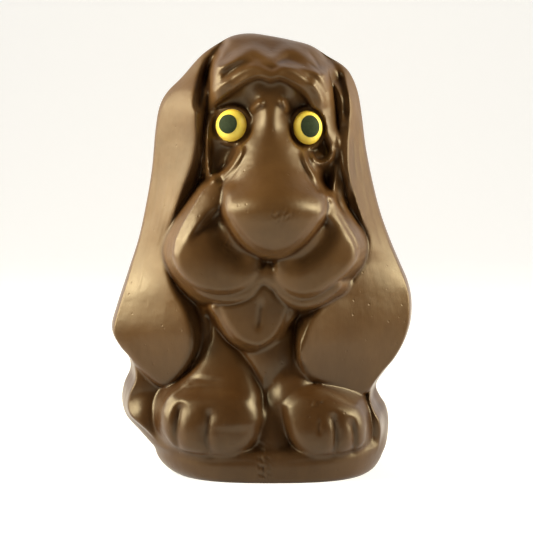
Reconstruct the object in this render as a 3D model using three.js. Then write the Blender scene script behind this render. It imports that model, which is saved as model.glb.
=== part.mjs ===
// A seated, long-eared dog moulded in chocolate, 200 mm tall, with two sugar eyes stuck on.
//
// Frame: millimetres, +X to the right as seen from the front, +Y to the back, +Z up, and the flat
// foot on z = 0. The figure is cast in a mould of two halves, so its surface is two reliefs over
// the (x, z) plane that meet at the widest outline: the front one gives how far forward the
// surface stands at (x, z), the back one how far back. Each relief is a few rounded forms joined
// by soft maxima, with folds drawn along short curves.

import * as THREE from 'three';

// ---------------------------------------------------------------- sizes, mm

// Widest outline, read upwards: [height, x]. The right branch runs up the other side.
const OUTLINE_LEFT = [
  [0, -41], [1.5, -44], [4, -47], [7, -49], [11, -50.8], [17, -57.5], [23, -64], [29.5, -66],
  [37, -64.8], [44, -61.9], [50, -62.3], [56, -66.5], [64, -69.8], [74, -67.5], [92, -61.5],
  [106, -57], [122, -53.5], [138, -50.8], [155, -49.2], [166, -47.3], [173, -43.7], [180, -36.8],
  [190, -27.8], [196, -19],
];
const CROWN = [[199, -13], [200, -5], [198.6, 5]];
const OUTLINE_RIGHT = [
  [0, 50], [1.5, 52.5], [4, 54.5], [7, 56], [12, 58], [20, 59.3], [27, 58], [32, 55], [37, 53.4],
  [44, 57.3], [50, 61.9], [58, 66.2], [67, 69], [77, 69.4], [86, 67.5], [96, 63.2], [106, 59],
  [118, 54.7], [132, 51.1], [148, 47.9], [162, 46.1], [173, 44.2], [181, 41], [185.5, 37],
  [189.5, 30.3], [194.5, 22.3], [197, 13],
];

// How far behind the eyes' plane the mould parts, by height, left and right.
const PARTING_LEFT = [[0, 4], [10, 6], [22, 14], [40, 15], [52, 7], [62, 3], [200, 3]];
const PARTING_RIGHT = [[0, 4], [10, 6], [22, 9], [36, 8], [46, 4], [60, 3], [200, 3]];

// x of the line from which each ear's plane climbs: the outline without its lower corners, [height, x].
const HINGE_LEFT = [
  [36, -60], [46, -63.5], [56, -66.3], [66, -67.8], [78, -66.3], [92, -61.5], [106, -57],
  [122, -53.5], [138, -50.8], [155, -49.2], [166, -47.3], [173, -43.7], [180, -36.8], [190, -27.8],
  [196, -19],
];
const HINGE_RIGHT = [
  [32, 60], [42, 62.5], [52, 65.3], [62, 67.6], [72, 68.6], [82, 67.8], [96, 63.2], [106, 59],
  [118, 54.7], [132, 51.1], [148, 47.9], [162, 46.1], [173, 44.2], [181, 41], [189.5, 30.3],
  [197, 13],
];

const PLINTH = { front: 49, back: 54, top: 13.5, round: 7, power: 2.7 };

const EYE_RISE = 5.4;
const EYE_GAP = 0.3;
const PUPIL_RADIUS = 4.15;
const PUPIL_RISE = 0.7;
const SEAT_REACH = 1.56;
// Each eye: x, z, depth of its seat, half width, half height, turn to the side and tilt up in degrees.
const EYES = [
  { name: 'left', x: -13.5, z: 158, depth: 22, halfWidth: 7.4, halfHeight: 7.3, turn: -20, tilt: 9 },
  { name: 'right', x: 20.5, z: 157, depth: 22, halfWidth: 6.7, halfHeight: 7.7, turn: 14, tilt: 9 },
];

// Counts that set how finely the reliefs are cut into triangles.
const ROWS = 72;
const FRONT_COLUMNS = 50;
const BACK_COLUMNS = 26;

// Outlines of the raised forms, as closed curves through [x, z] points.
const FORMS = {
  earLeft: [
    [-20, 198], [-24.5, 188], [-28, 176], [-29, 163], [-28.8, 151], [-31, 140], [-35.4, 129],
    [-39.6, 117], [-43.6, 105], [-43.2, 95], [-39, 84], [-33.5, 75], [-30.5, 66], [-30.5, 57],
    [-34, 48.5], [-39.5, 42], [-45, 39.5], [-51, 42.5], [-59, 50], [-66, 57], [-80, 62], [-90, 90],
    [-80, 130], [-72, 170], [-58, 195], [-30, 215],
  ],
  earRight: [
    [31, 197], [34.8, 189], [37.9, 180], [39.2, 168], [38.8, 154], [38.4, 140], [41, 127],
    [45.4, 115], [48.5, 105], [45, 94], [36, 84], [26, 77], [19.5, 69], [16.8, 60], [17.4, 51],
    [21, 44.8], [28, 41.2], [36, 38], [42.5, 35.3], [47.5, 36], [52, 39.8], [62, 46], [80, 60],
    [90, 90], [78, 120], [70, 150], [66, 175], [54, 200], [40, 212],
  ],
  face: [
    [-17, 204], [-22.5, 186], [-24.3, 173], [-26.5, 163], [-28.3, 154], [-27.5, 143], [-25.8, 133.5],
    [-31, 124], [-37.5, 113.5], [-41, 104], [-39, 95], [-30, 86], [-10, 78], [0, 80], [10, 78],
    [30, 84], [42, 96], [46.5, 106], [43, 114.5], [39, 122], [37, 131], [36.5, 142], [35.5, 151],
    [34, 163], [32, 175], [28.5, 188], [23, 204], [0, 220],
  ],
  nose: [
    [-17, 126.5], [-16.4, 119], [-13, 111.5], [-8, 105], [-2, 101], [5, 99.3], [12, 101], [19, 106.5],
    [24, 112.5], [28, 119.5], [28, 130], [22, 148], [4, 156], [-12, 148], [-17, 134],
  ],
  jowlLeft: [
    [-14, 134], [-21, 135], [-25.5, 131], [-30.3, 123.5], [-36.3, 113.5], [-40.3, 103.5], [-39.5, 96],
    [-35, 89.5], [-28, 85.3], [-20, 83.2], [-12, 83.5], [-5, 86.3], [-0.8, 91], [1.3, 97], [0, 104],
    [-3, 118], [-8, 128],
  ],
  jowlRight: [
    [20, 134], [27, 132], [32, 127.5], [34.5, 122], [38.3, 115.5], [42.3, 109], [44, 103.5],
    [42.8, 97.5], [39.5, 93], [35.5, 89.7], [30, 86], [24, 82.5], [18, 81.3], [12, 83], [7, 87],
    [4.6, 92], [4.4, 98], [8, 110], [12, 122],
  ],
  lip: [
    [-34, 90], [-30, 84.5], [-23.5, 80.3], [-15, 78.8], [-8, 79.8], [-3, 82.5], [1, 87.5], [4, 86],
    [8, 81], [13, 77.5], [19, 76.3], [25, 77.8], [31, 81.6], [36, 87], [30, 92], [0, 96], [-30, 94],
  ],
  tongue: [
    [-19.5, 78.3], [-12, 79.5], [-6, 82], [1, 88], [7, 83], [12, 78], [11.3, 74], [9, 68], [5, 62.8],
    [0, 59.8], [-4, 59.6], [-10, 62], [-14.3, 66.5], [-17.5, 72],
  ],
  chin: [
    [-22.5, 79], [-20.5, 71.5], [-16, 63.5], [-10.5, 58.8], [-3, 56.3], [3.5, 57.3], [8.5, 61.8],
    [12, 67.8], [15, 76], [0, 90],
  ],
  legLeft: [
    [-32, 84], [-22.5, 80], [-20.5, 71.5], [-16, 63.5], [-12, 59.5], [-6, 52.5], [-1.8, 45], [0.3, 36],
    [0, 24], [-40, 24], [-41.5, 36], [-37, 42.5], [-31.5, 48.5], [-28.5, 56], [-28.5, 66],
  ],
  legRight: [
    [12, 70], [18, 66], [20, 56], [22, 46], [25, 30], [22, 16], [9, 15], [5.5, 20], [3.4, 28],
    [2.4, 38], [3.6, 48], [7.5, 58],
  ],
  pawLeft: [
    [-44, 35], [-40, 39.5], [-32, 41], [-22, 41.5], [-12, 41.5], [-4, 38.5], [0.3, 31], [0.3, 24],
    [-2, 18.5], [-6, 14.5], [-13, 12.4], [-22, 12.3], [-31, 13], [-38, 14.5], [-42.5, 18.5],
    [-45.5, 24], [-46, 30],
  ],
  pawRight: [
    [7.6, 35], [12.5, 40.3], [18, 42.6], [24, 42.2], [31, 40], [38, 36.6], [44, 32.8], [47, 27],
    [47, 19.5], [44.5, 15], [38, 13.3], [30, 12.4], [22, 12.3], [16, 14.8], [12, 19.5], [9, 27],
    [8, 32],
  ],
  footRight: [
    [47.5, 34], [51, 38], [58, 35], [68, 25], [66, 8], [52, 4], [48, 14], [47.5, 25],
  ],
  earBackLeft: [
    [-20, 196], [-30, 180], [-33, 160], [-36, 140], [-39, 120], [-42, 100], [-45, 84], [-46, 70],
    [-47, 58], [-52, 49], [-60, 46], [-66, 54], [-80, 62], [-90, 90], [-80, 130], [-72, 170],
    [-58, 195], [-30, 215],
  ],
  earBackRight: [
    [28, 196], [32, 180], [33, 160], [35, 140], [38, 120], [43, 100], [46, 84], [46, 70], [46, 58],
    [50, 46], [56, 42], [62, 48], [80, 60], [90, 90], [78, 120], [70, 150], [66, 175], [54, 200],
    [40, 212],
  ],
};

// Ridges (height above 0) and creases (below 0): points along the fold, half width, height, end fade.
const FRONT_FOLDS = [
  // gaps between the ears and the forehead, up to the crown
  { path: [
    [-15, 199], [-19.5, 193], [-23.5, 186], [-26.5, 179], [-28, 171], [-28.6, 163],
  ], width: 2.2, height: -5, fade: 0.15 },
  { path: [
    [26, 196], [30.5, 189], [34.5, 182], [36.3, 174], [37.2, 166], [37.6, 159],
  ], width: 2.4, height: -3.6, fade: 0.15 },
  // forehead
  { path: [
    [-22.5, 177], [-17.5, 184], [-11, 188.7], [-4, 192], [4.5, 188.5], [12, 192.3], [19, 189.5],
    [25.5, 182], [29.5, 173],
  ], width: 2.6, height: 2.3, fade: 0.12 },
  { path: [[-16.5, 195], [-18, 190], [-20, 186], [-21.5, 181]], width: 1.6, height: 1, fade: 0.3 },
  { path: [[-23.5, 172], [-21, 177], [-17, 181.5]], width: 1.8, height: 0.9, fade: 0.3 },
  { path: [[-24.5, 170], [-20, 175.2], [-13, 179.5]], width: 1.8, height: 1.2, fade: 0.3 },
  { path: [[21, 180], [25.5, 172.5], [28.5, 164.5]], width: 1.8, height: 2.2, fade: 0.3 },
  { path: [
    [-20.5, 175.5], [-14.5, 182], [-8.5, 185.7], [-3, 187.3], [4.5, 184.3], [10.5, 187], [16.5, 185.3],
    [22.5, 179],
  ], width: 1.8, height: -1.3, fade: 0.2 },
  { path: [
    [-24, 167.5], [-20, 173.5], [-14, 178.8], [-8, 182.6], [-2, 184], [4.5, 181.7], [10, 183.3],
    [16, 181], [22, 176], [27, 169],
  ], width: 2, height: 1.6, fade: 0.15 },
  // lower brow
  { path: [
    [-25.5, 165], [-20, 170], [-13, 174.8], [-6, 179], [-1, 180.3], [4, 179], [8, 179.8], [13, 178],
    [19, 173.8], [24, 167], [28, 158.5], [32, 149.5], [34.5, 142.5],
  ], width: 3.2, height: 2.4, fade: 0.1 },
  // inner ends of the brows
  { path: [[-5, 163], [-3.4, 166], [-0.5, 168.2], [2, 169]], width: 1.5, height: 3.4, fade: 0.35 },
  { path: [[7, 170.5], [9.3, 168.7], [10.8, 166], [11.2, 163]], width: 1.4, height: 3.2, fade: 0.35 },
  // bags under the eyes
  { path: [
    [-22.5, 163.5], [-24.2, 158], [-24.4, 150], [-24.3, 142], [-23.6, 134.5],
  ], width: 1.4, height: 3, fade: 0.12 },
  { path: [
    [-24.5, 133.5], [-19, 135.5], [-13.5, 139.8], [-10, 145], [-8.5, 150],
  ], width: 1.5, height: 3, fade: 0.15 },
  { path: [[-21.5, 136.5], [-18, 138.5], [-14, 142]], width: 1.3, height: -1.6, fade: 0.3 },
  { path: [
    [18, 148], [19.5, 142], [23, 136], [28, 129], [33, 123],
  ], width: 1.3, height: 2.8, fade: 0.15 },
  { path: [
    [21.5, 147], [23, 143], [26, 141], [30, 142.5], [31.5, 146], [29.5, 149.5],
  ], width: 1.3, height: 2.8, fade: 0.2 },
  { path: [[33.5, 143], [33, 136], [32, 130], [34, 124]], width: 1.3, height: 2, fade: 0.25 },
  // beside the nose and along the cheeks
  { path: [
    [-20.5, 123], [-20, 115], [-15.5, 107], [-9, 100.5], [-2, 97],
  ], width: 4.4, height: -4.2, fade: 0.3 },
  { path: [
    [31, 119], [28.5, 110], [22, 102.5], [14, 98], [8, 96.5],
  ], width: 3.8, height: -3.6, fade: 0.3 },
  { path: [[-25, 132.5], [-31, 122.5], [-37, 112], [-39.5, 104]], width: 1.3, height: 1.4, fade: 0.15 },
  { path: [[34.5, 126], [38.5, 119.5], [42.5, 112.5], [45, 106]], width: 1.3, height: 1.5, fade: 0.2 },
  // inner fold of the right ear
  { path: [[34.4, 157], [35.2, 149], [35.8, 140], [36.2, 133]], width: 1.5, height: 2, fade: 0.25 },
  { path: [
    [37, 158], [37.4, 151], [37.8, 141], [38.6, 132], [40, 125],
  ], width: 2.8, height: 3.8, fade: 0.22 },
  { path: [[41.2, 130], [43.6, 121.5], [47, 111]], width: 1.3, height: 1.4, fade: 0.25 },
  // groove of the tongue
  { path: [[0, 82], [-1, 74], [-1.8, 66]], width: 1.3, height: -1.2, fade: 0.3 },
  // toes
  { path: [[-35.5, 37], [-37.2, 29], [-38, 21], [-36.5, 10]], width: 2.8, height: -1.8, fade: 0.2 },
  { path: [[-22.5, 35], [-24, 26], [-24.4, 19], [-22, 10]], width: 2.8, height: -1.7, fade: 0.2 },
  { path: [[31, 33], [32.8, 24], [32.8, 17], [32, 10]], width: 2.4, height: -1.6, fade: 0.2 },
  { path: [[39, 30], [41, 22], [41, 17], [40, 10]], width: 2, height: -1.4, fade: 0.2 },
  // leg and chest
  { path: [[-25, 80], [-24, 73], [-23.5, 66], [-24.5, 58]], width: 1.3, height: -1.5, fade: 0.25 },
];
// Steps: points along the upper edge with the low ground on the right hand, width of the step, how
// far the low ground reaches, its depth, and the fade at both ends.
const BROW_STEP = { path: [
  [-25.5, 164], [-20, 169.5], [-13, 174.5], [-6, 179], [-1, 180.3], [4, 179], [8, 179.8], [13, 178],
  [19, 173.5], [23.5, 166.5], [27.2, 158], [31, 149.5], [33.5, 143],
], width: 2.2, reach: 8.5, drop: 4.6, fade: 0.1 };
const CHEEK_STEPS = [
  { path: [
    [-35, 106.5], [-32.5, 110], [-28, 115.5], [-22, 121.5], [-15.5, 127], [-8, 133],
  ], width: 4, reach: 7, drop: 4.6, fade: 0.35 },
  { path: [
    [16, 132], [22, 126.5], [27, 121.5], [30.5, 117], [33.5, 112.5],
  ], width: 3.5, reach: 6, drop: 4, fade: 0.3 },
];
const BACK_FOLDS = [
  // tail lying up the right haunch, and the furrow of the spine
  { path: [[5, 13], [17, 16], [28, 24], [32, 35], [29, 44]], width: 5, height: 6.5, fade: 0.2 },
  { path: [[1.5, 176], [1, 140], [0.5, 100], [1, 60]], width: 3, height: -1.2, fade: 0.3 },
];

// ---------------------------------------------------------------- plain mathematics

const clamp = THREE.MathUtils.clamp;
const radians = THREE.MathUtils.degToRad;

// The larger of a and b, with the corner between them rounded over a difference of r.
function softMax(a, b, r) {
  const h = Math.max(r - Math.abs(a - b), 0);
  return Math.max(a, b) + (h * h) / (4 * r);
}

function softMin(a, b, r) {
  return -softMax(-a, -b, r);
}

// 0 below 0, 1 above 1, and a smooth step between.
function step(t) {
  const u = clamp(t, 0, 1);
  return u * u * (3 - 2 * u);
}

// A smooth curve through [position, value] pairs that never overshoots them.
function by(position, pairs) {
  const last = pairs.length - 1;
  const at = clamp(position, pairs[0][0], pairs[last][0]);
  let i = 0;
  while (i < last - 1 && pairs[i + 1][0] <= at) i += 1;
  const slope = (k) => (pairs[k + 1][1] - pairs[k][1]) / (pairs[k + 1][0] - pairs[k][0]);
  const tangent = (k) => {
    if (k === 0) return slope(0);
    if (k === last) return slope(last - 1);
    const before = slope(k - 1);
    const after = slope(k);
    return before * after > 0 ? (2 * before * after) / (before + after) : 0;
  };
  const span = pairs[i + 1][0] - pairs[i][0];
  const t = (at - pairs[i][0]) / span;
  const s = 1 - t;
  return (1 + 2 * t) * s * s * pairs[i][1] + t * s * s * span * tangent(i)
    + t * t * (3 - 2 * t) * pairs[i + 1][1] - t * t * s * span * tangent(i + 1);
}

// Points along a Catmull-Rom curve through the given [a, b] points.
function spline(points, closed, perSpan = 6) {
  const n = points.length;
  const knot = (k) => {
    if (closed) return points[(k + n) % n];
    if (k < 0) return [2 * points[0][0] - points[1][0], 2 * points[0][1] - points[1][1]];
    if (k >= n) return [2 * points[n - 1][0] - points[n - 2][0], 2 * points[n - 1][1] - points[n - 2][1]];
    return points[k];
  };
  const curve = [];
  for (let k = 0; k < (closed ? n : n - 1); k += 1) {
    const [p0, p1, p2, p3] = [knot(k - 1), knot(k), knot(k + 1), knot(k + 2)];
    for (let j = 0; j < perSpan; j += 1) {
      const t = j / perSpan;
      curve.push([0, 1].map((c) => {
        const a = (p2[c] - p0[c]) / 2;
        const b = (p3[c] - p1[c]) / 2;
        return (2 * p1[c] - 2 * p2[c] + a + b) * t ** 3 + (-3 * p1[c] + 3 * p2[c] - 2 * a - b) * t ** 2
          + a * t + p1[c];
      }));
    }
  }
  curve.push(closed ? curve[0] : points[n - 1]);
  return curve;
}

// Distance from (x, z) to a curve, the share of its length where the nearest point lies, and the
// side on which (x, z) lies there: 1 on the right hand, -1 on the left.
function nearest(x, z, curve) {
  let best = Infinity;
  let walked = 0;
  let where = 0;
  let side = 0;
  for (let k = 1; k < curve.length; k += 1) {
    const [ax, az] = curve[k - 1];
    const length = Math.hypot(curve[k][0] - ax, curve[k][1] - az);
    const ux = (curve[k][0] - ax) / length;
    const uz = (curve[k][1] - az) / length;
    const along = clamp((x - ax) * ux + (z - az) * uz, 0, length);
    const distance = Math.hypot(x - ax - along * ux, z - az - along * uz);
    if (distance < best) {
      best = distance;
      where = walked + along;
      side = Math.sign((x - ax) * uz - (z - az) * ux);
    }
    walked += length;
  }
  return { distance: best, share: where / walked, side };
}

// Distance to a closed curve: above 0 inside it, below 0 outside.
function depthInside(x, z, curve) {
  let inside = false;
  for (let k = 1; k < curve.length; k += 1) {
    const [ax, az] = curve[k - 1];
    const [bx, bz] = curve[k];
    if (az > z !== bz > z && x < ax + ((z - az) * (bx - ax)) / (bz - az)) inside = !inside;
  }
  const { distance } = nearest(x, z, curve);
  return inside ? distance : -distance;
}

// True where (x, z) is further than reach outside the box round a curve.
function clearOf(x, z, box, reach) {
  return x < box.min.x - reach || x > box.max.x + reach || z < box.min.y - reach || z > box.max.y + reach;
}

function boxRound(curve) {
  return new THREE.Box2().setFromPoints(curve.map(([x, z]) => new THREE.Vector2(x, z)));
}

// ---------------------------------------------------------------- shapes of a relief

const forms = {};
for (const [name, points] of Object.entries(FORMS)) {
  const curve = spline(points, true);
  forms[name] = { curve, box: boxRound(curve) };
}
const farOutside = 18;

// A form's edge: 0 well inside its outline, a quarter ellipse down to -drop at the outline over
// the given width, and a steep wall outside it.
function edge(x, z, name, width, drop, wall) {
  const { curve, box } = forms[name];
  const inside = clearOf(x, z, box, farOutside) ? -farOutside : depthInside(x, z, curve);
  const u = clamp(1 - inside / width, 0, 1);
  return -drop * (1 - Math.sqrt(1 - u * u)) + Math.min(inside, 0) * wall;
}

// Distance from a centre in units of the half sizes of a turned ellipse.
function polar(x, z, cx, cz, halfX, halfZ, turn = 0) {
  const c = Math.cos(radians(turn));
  const s = Math.sin(radians(turn));
  return Math.hypot(((x - cx) * c + (z - cz) * s) / halfX, ((z - cz) * c - (x - cx) * s) / halfZ);
}

// Half an ellipsoid standing on a seat, with a steep fall outside it.
function dome(r, reach, seat, height, fall = 2) {
  if (r < 1) return seat + height * Math.sqrt(1 - r * r);
  return seat - fall * (r - 1) * reach;
}

function mound(r, height, power) {
  return height * Math.exp(-(r ** power));
}

// The sum of a list of folds: each has a bell section and fades at its ends.
function folds(list) {
  const ready = list.map((fold) => {
    const curve = spline(fold.path, false);
    return { ...fold, curve, box: boxRound(curve) };
  });
  return (x, z) => {
    let sum = 0;
    for (const fold of ready) {
      if (clearOf(x, z, fold.box, 3 * fold.width)) continue;
      const { distance, share } = nearest(x, z, fold.curve);
      if (distance > 3 * fold.width) continue;
      const bell = Math.exp(-((distance / fold.width) ** 2));
      sum += fold.height * bell * step(Math.min(share, 1 - share) / fold.fade);
    }
    return sum;
  };
}

// A step down to the right hand of a path, fading away from it and at its ends.
function ledge(fold) {
  const curve = spline(fold.path, false);
  const box = boxRound(curve);
  const far = 2.6 * fold.reach;
  return (x, z) => {
    if (clearOf(x, z, box, far)) return 0;
    const { distance, share, side } = nearest(x, z, curve);
    if (distance > far) return 0;
    const low = distance * side;
    const fall = step(low / fold.width) * Math.exp(-((low / fold.reach) ** 2));
    return -fold.drop * fall * step(Math.min(share, 1 - share) / fold.fade);
  };
}

// How fast the surface rises from the widest outline: a round edge that turns into a slope.
function rim(distance, radius, slope) {
  return Math.sqrt(2 * radius * distance + (slope * distance) ** 2) + 0.03 * distance * distance;
}

// ---------------------------------------------------------------- the widest outline

const swap = (pairs) => pairs.map(([z, x]) => [x, z]);
const outline = spline([...swap(OUTLINE_LEFT), ...swap(CROWN), ...swap(OUTLINE_RIGHT).reverse()], false);
const crownIndex = outline.reduce((best, point, k) => (point[1] > outline[best][1] ? k : best), 0);
const leftBranch = outline.slice(0, crownIndex + 1);
const rightBranch = outline.slice(crownIndex).reverse();
const crown = outline[crownIndex];
const belowGround = 80;
const silhouette = [[-47, -belowGround], ...outline, [55, -belowGround], [-47, -belowGround]];

// The outline's x at a height, by straight interpolation along one of its branches.
function branchAt(z, branch) {
  let k = 1;
  while (k < branch.length - 1 && branch[k][1] < z) k += 1;
  const t = clamp((z - branch[k - 1][1]) / (branch[k][1] - branch[k - 1][1]), 0, 1);
  return branch[k - 1][0] + t * (branch[k][0] - branch[k - 1][0]);
}

// y of the widest outline, with a smooth change from the left side to the right.
function parting(x, z) {
  const right = 1 / (1 + Math.exp(-x / 12));
  return by(z, PARTING_LEFT) * (1 - right) + by(z, PARTING_RIGHT) * right;
}

// The low foot of the figure: a superellipse in plan with a rounded top edge.
function plinth(x, z, reach) {
  const left = branchAt(z, leftBranch);
  const right = branchAt(z, rightBranch);
  const u = clamp(Math.abs(2 * x - left - right) / (right - left), 0, 1);
  const top = clamp((z - PLINTH.top + PLINTH.round) / PLINTH.round, 0, 1);
  const low = clamp(1 - z / 1.5, 0, 1);
  return reach * (1 - u ** PLINTH.power) ** (1 / PLINTH.power)
    - (3.2 - 2 * u * u) * (1 - Math.sqrt(1 - top * top))
    - 0.8 * (1 - Math.sqrt(1 - low * low))
    - Math.max(z - PLINTH.top, 0) * (3 - 2.4 * u * u);
}

// ---------------------------------------------------------------- the front relief

const frontFolds = folds(FRONT_FOLDS);

function trunk(x, z) {
  let d = dome(polar(x, z, 3, 45, 56, 82), 56, 0, 27);
  d = softMax(d, dome(polar(x, z, 5, 140, 46, 70), 46, -2, 18), 6);
  d = softMax(d, 35.5 - 7 * ((x - 4) / 14) ** 2 - 9 * ((z - 52) / 26) ** 2, 5);
  d = softMax(d, 46 - 5 * ((x - 3.5) / 9) ** 2 - 9 * ((z - 8) / 26) ** 2, 4);
  d = softMax(d, dome(polar(x, z, -52, 37, 22, 24), 22, -2, 20), 4);
  d = softMax(d, dome(polar(x, z, -52, 20, 16, 22), 16, -2, 26), 4);
  const foot = 27 - 5 * ((z - 22) / 16) ** 2 - 5 * ((x - 50) / 10) ** 2;
  return softMax(d, foot + edge(x, z, 'footRight', 4, 5, 3), 2);
}

function face(x, z) {
  const middle = by(z, [[78, 26], [90, 31], [100, 34], [110, 34.5], [120, 33], [130, 30.5], [140, 28],
    [150, 26.5], [160, 26.5], [170, 28], [176, 29], [183, 28], [190, 24.5], [196, 20], [204, 14]]);
  const fall = by(z, [[100, 5.5], [150, 6], [168, 11], [184, 12], [200, 8]]);
  const drop = by(z, [[120, 8], [136, 5], [164, 5], [178, 8]]);
  return middle - fall * ((x - 4) / 30) ** 2 + edge(x, z, 'face', 6, drop, 1.6);
}

function earLeft(x, z) {
  const slope = by(z, [[40, 0.42], [60, 0.5], [80, 0.64], [100, 1.08], [120, 1.38], [150, 1.2],
    [170, 1.4], [188, 0.9], [200, 0.3]]);
  const rise = Math.min((x - by(z, HINGE_LEFT)) * slope, 27);
  const outer = by(z, [[40, 16.5], [60, 14.5], [80, 9], [100, 2.5], [120, 1], [200, 1]]);
  return outer + rise + edge(x, z, 'earLeft', 3.5, 3, 2.6);
}

function earRight(x, z) {
  const slope = by(z, [[35, 0.5], [60, 0.55], [80, 0.58], [95, 0.84], [105, 1.33], [120, 1.95],
    [150, 2.1], [170, 3], [185, 1.6], [198, 0.5]]);
  const rise = Math.min((by(z, HINGE_RIGHT) - x) * slope, 27);
  const outer = by(z, [[35, 15], [60, 13.5], [80, 10], [100, 4.5], [120, 2], [200, 1.5]]);
  return outer + rise + edge(x, z, 'earRight', 3, 2.5, 2.6);
}

// The bridge of the nose, narrow between the eyes and broad above the muzzle.
function bridge(x, z) {
  const depth = by(z, [[98, 22], [106, 40], [114, 50.5], [120, 53.5], [128, 51.5], [134, 47.5],
    [142, 41.5], [150, 36.5], [158, 33], [166, 30], [174, 26.5], [182, 22]]);
  const half = by(z, [[112, 22], [126, 22], [134, 21], [142, 19], [150, 16.5], [158, 14], [166, 11.5],
    [174, 9.5], [182, 8]]);
  const middle = by(z, [[126, 5.2], [150, 4], [174, 3.5]]);
  const drop = by(z, [[130, 17], [150, 13], [166, 9], [182, 6]]);
  const u = Math.abs(x - middle) / half;
  const section = u < 1 ? u ** 2.3 : 1 + 2.3 * (u - 1) + 4 * (u - 1) ** 2;
  return depth - drop * section - Math.max(z - 174, 0) * 2;
}

const browStep = ledge(BROW_STEP);
const cheekSteps = CHEEK_STEPS.map(ledge);

// Jowls that run up into the cheeks, chin, lip, tongue and nose, each a curved pad over what is there.
function muzzle(x, z, ground) {
  const belly = by(z, [[78, 42], [86, 45], [97, 46], [106, 45], [114, 42.5], [122, 39], [130, 34.5],
    [138, 29]]);
  const widthLeft = by(z, [[96, 4], [114, 8]]);
  const widthRight = by(z, [[96, 4], [114, 6]]);
  const jowlLeft = belly - 7 * ((x + 21) / 22) ** 2 + edge(x, z, 'jowlLeft', widthLeft, 7, 3);
  const jowlRight = belly - 7 * ((x - 23) / 22) ** 2 + edge(x, z, 'jowlRight', widthRight, 7, 3);
  const tongue = 39.5 - 3 * ((x + 3) / 16) ** 2 + edge(x, z, 'tongue', 2.5, 2.2, 2.6);
  const noseHalf = by(z, [[99, 22], [118, 22], [126, 19], [134, 14], [142, 11]]);
  const profile = by(z, [[98, 46.5], [102, 50.8], [106, 54.2], [110, 56.8], [114, 58.6], [118, 59.6],
    [121, 59.8], [124, 59.2], [127, 57.6], [130, 55], [134, 50.5], [140, 42], [148, 28], [156, 10]]);
  const nose = profile - 9 * ((x - 5) / noseHalf) ** 2 + edge(x, z, 'nose', 4, 6, 3.5);
  let d = softMax(ground, jowlLeft, 2.5);
  d = softMax(d, jowlRight, 2.5);
  d = softMax(d, dome(polar(x, z, 2.7, 91, 3, 10), 3, 34, 5, 3), 2);
  d = softMax(d, 35.5 + edge(x, z, 'chin', 3, 5, 2.6), 1);
  d = softMax(d, 40.5 + edge(x, z, 'lip', 3.5, 4, 3), 3);
  d = softMax(d, tongue, 0.5);
  for (const cheekStep of cheekSteps) d += cheekStep(x, z);
  return softMax(d, nose, 4);
}

// Forelegs that run down into the paws.
function legs(x, z, ground) {
  const low = 8 * (Math.abs(z - 20) / 21) ** 2.2;
  const shin = by(z, [[26, 48.5], [36, 45.5], [44, 39.5], [52, 33], [60, 28.5], [72, 25]]);
  const across = x > -13 ? 5.5 * ((x + 13) / 13) ** 2 : 4 * ((x + 13) / 17) ** 2;
  const drop = by(z, [[14, 4.5], [27, 9]]);
  const legLeft = shin - across + edge(x, z, 'legLeft', 5, 6, 2.6);
  const lower = by(z, [[14, 38], [24, 41], [34, 41.5], [42, 38.5], [50, 32.5], [60, 25.5], [72, 21]]);
  const legRight = lower - 2.5 * ((x - 16) / 10) ** 2 + edge(x, z, 'legRight', 7, 5, 2.4);
  const pawLeft = 50.5 - 9 * ((x + 19) / 27) ** 2 - low + edge(x, z, 'pawLeft', 6, drop, 2.8);
  const pawRight = 50.5 - 9 * ((x - 26) / 23) ** 2 - low + edge(x, z, 'pawRight', 6, drop, 2.8);
  let d = softMax(ground, legLeft, 3);
  d = softMax(d, legRight, 4);
  d = softMax(d, pawLeft, 5);
  return softMax(d, pawRight, 2);
}

// A flat, tilted seat under each eye, blended into the face around it.
function eyeSeats(x, z, ground) {
  let d = ground;
  for (const eye of EYES) {
    const lean = Math.tan(radians(eye.tilt)) / Math.cos(radians(eye.turn));
    const plane = eye.depth - (x - eye.x) * Math.tan(radians(eye.turn)) - (z - eye.z) * lean;
    const share = step((SEAT_REACH - polar(x, z, eye.x, eye.z, eye.halfWidth, eye.halfHeight)) / 0.32);
    d = d * (1 - share) + plane * share;
  }
  return d;
}

// How far forward of y = 0 the surface stands at (x, z), without the eyes' seats.
function front(x, z) {
  const widest = parting(x, z);
  const inside = Math.max(depthInside(x, z, silhouette), 0);
  const radius = by(z, [[0, 6], [20, 3.5], [50, 3], [62, 1.6], [100, 1], [160, 1], [180, 6], [200, 16]]);
  const slope = by(z, [
    [0, 2.8], [12, 6], [45, 7], [62, 9], [100, 8], [150, 6], [172, 3.5], [185, 1.6], [200, 0.9],
  ]);
  const round = rim(inside, radius, slope);
  let d = softMax(trunk(x, z), face(x, z), 4);
  d = softMax(d, earLeft(x, z), 1.5);
  d = softMax(d, earRight(x, z), 1.5);
  d = softMin(d, round - widest, 1.6);
  d = softMax(d, bridge(x, z), 3);
  d -= mound(polar(x, z, -7.5, 164, 6.5, 9.5, 25), 5, 2.6);
  d -= mound(polar(x, z, 14.5, 163, 6, 9.5, -30), 5, 2.6);
  d += browStep(x, z);
  d = muzzle(x, z, d);
  d = legs(x, z, d);
  d = softMax(d, plinth(x, z, PLINTH.front + widest) - widest, 5);
  d += frontFolds(x, z);
  d -= mound(polar(x, z, -17.5, 145, 6, 9, -18), 3.8, 2.8);
  d -= mound(polar(x, z, 28.3, 133.5, 3.2, 5.4, -12), 6, 2.4);
  return Math.max(d, -widest);
}

// ---------------------------------------------------------------- the back relief

const backFolds = folds(BACK_FOLDS);

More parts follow.
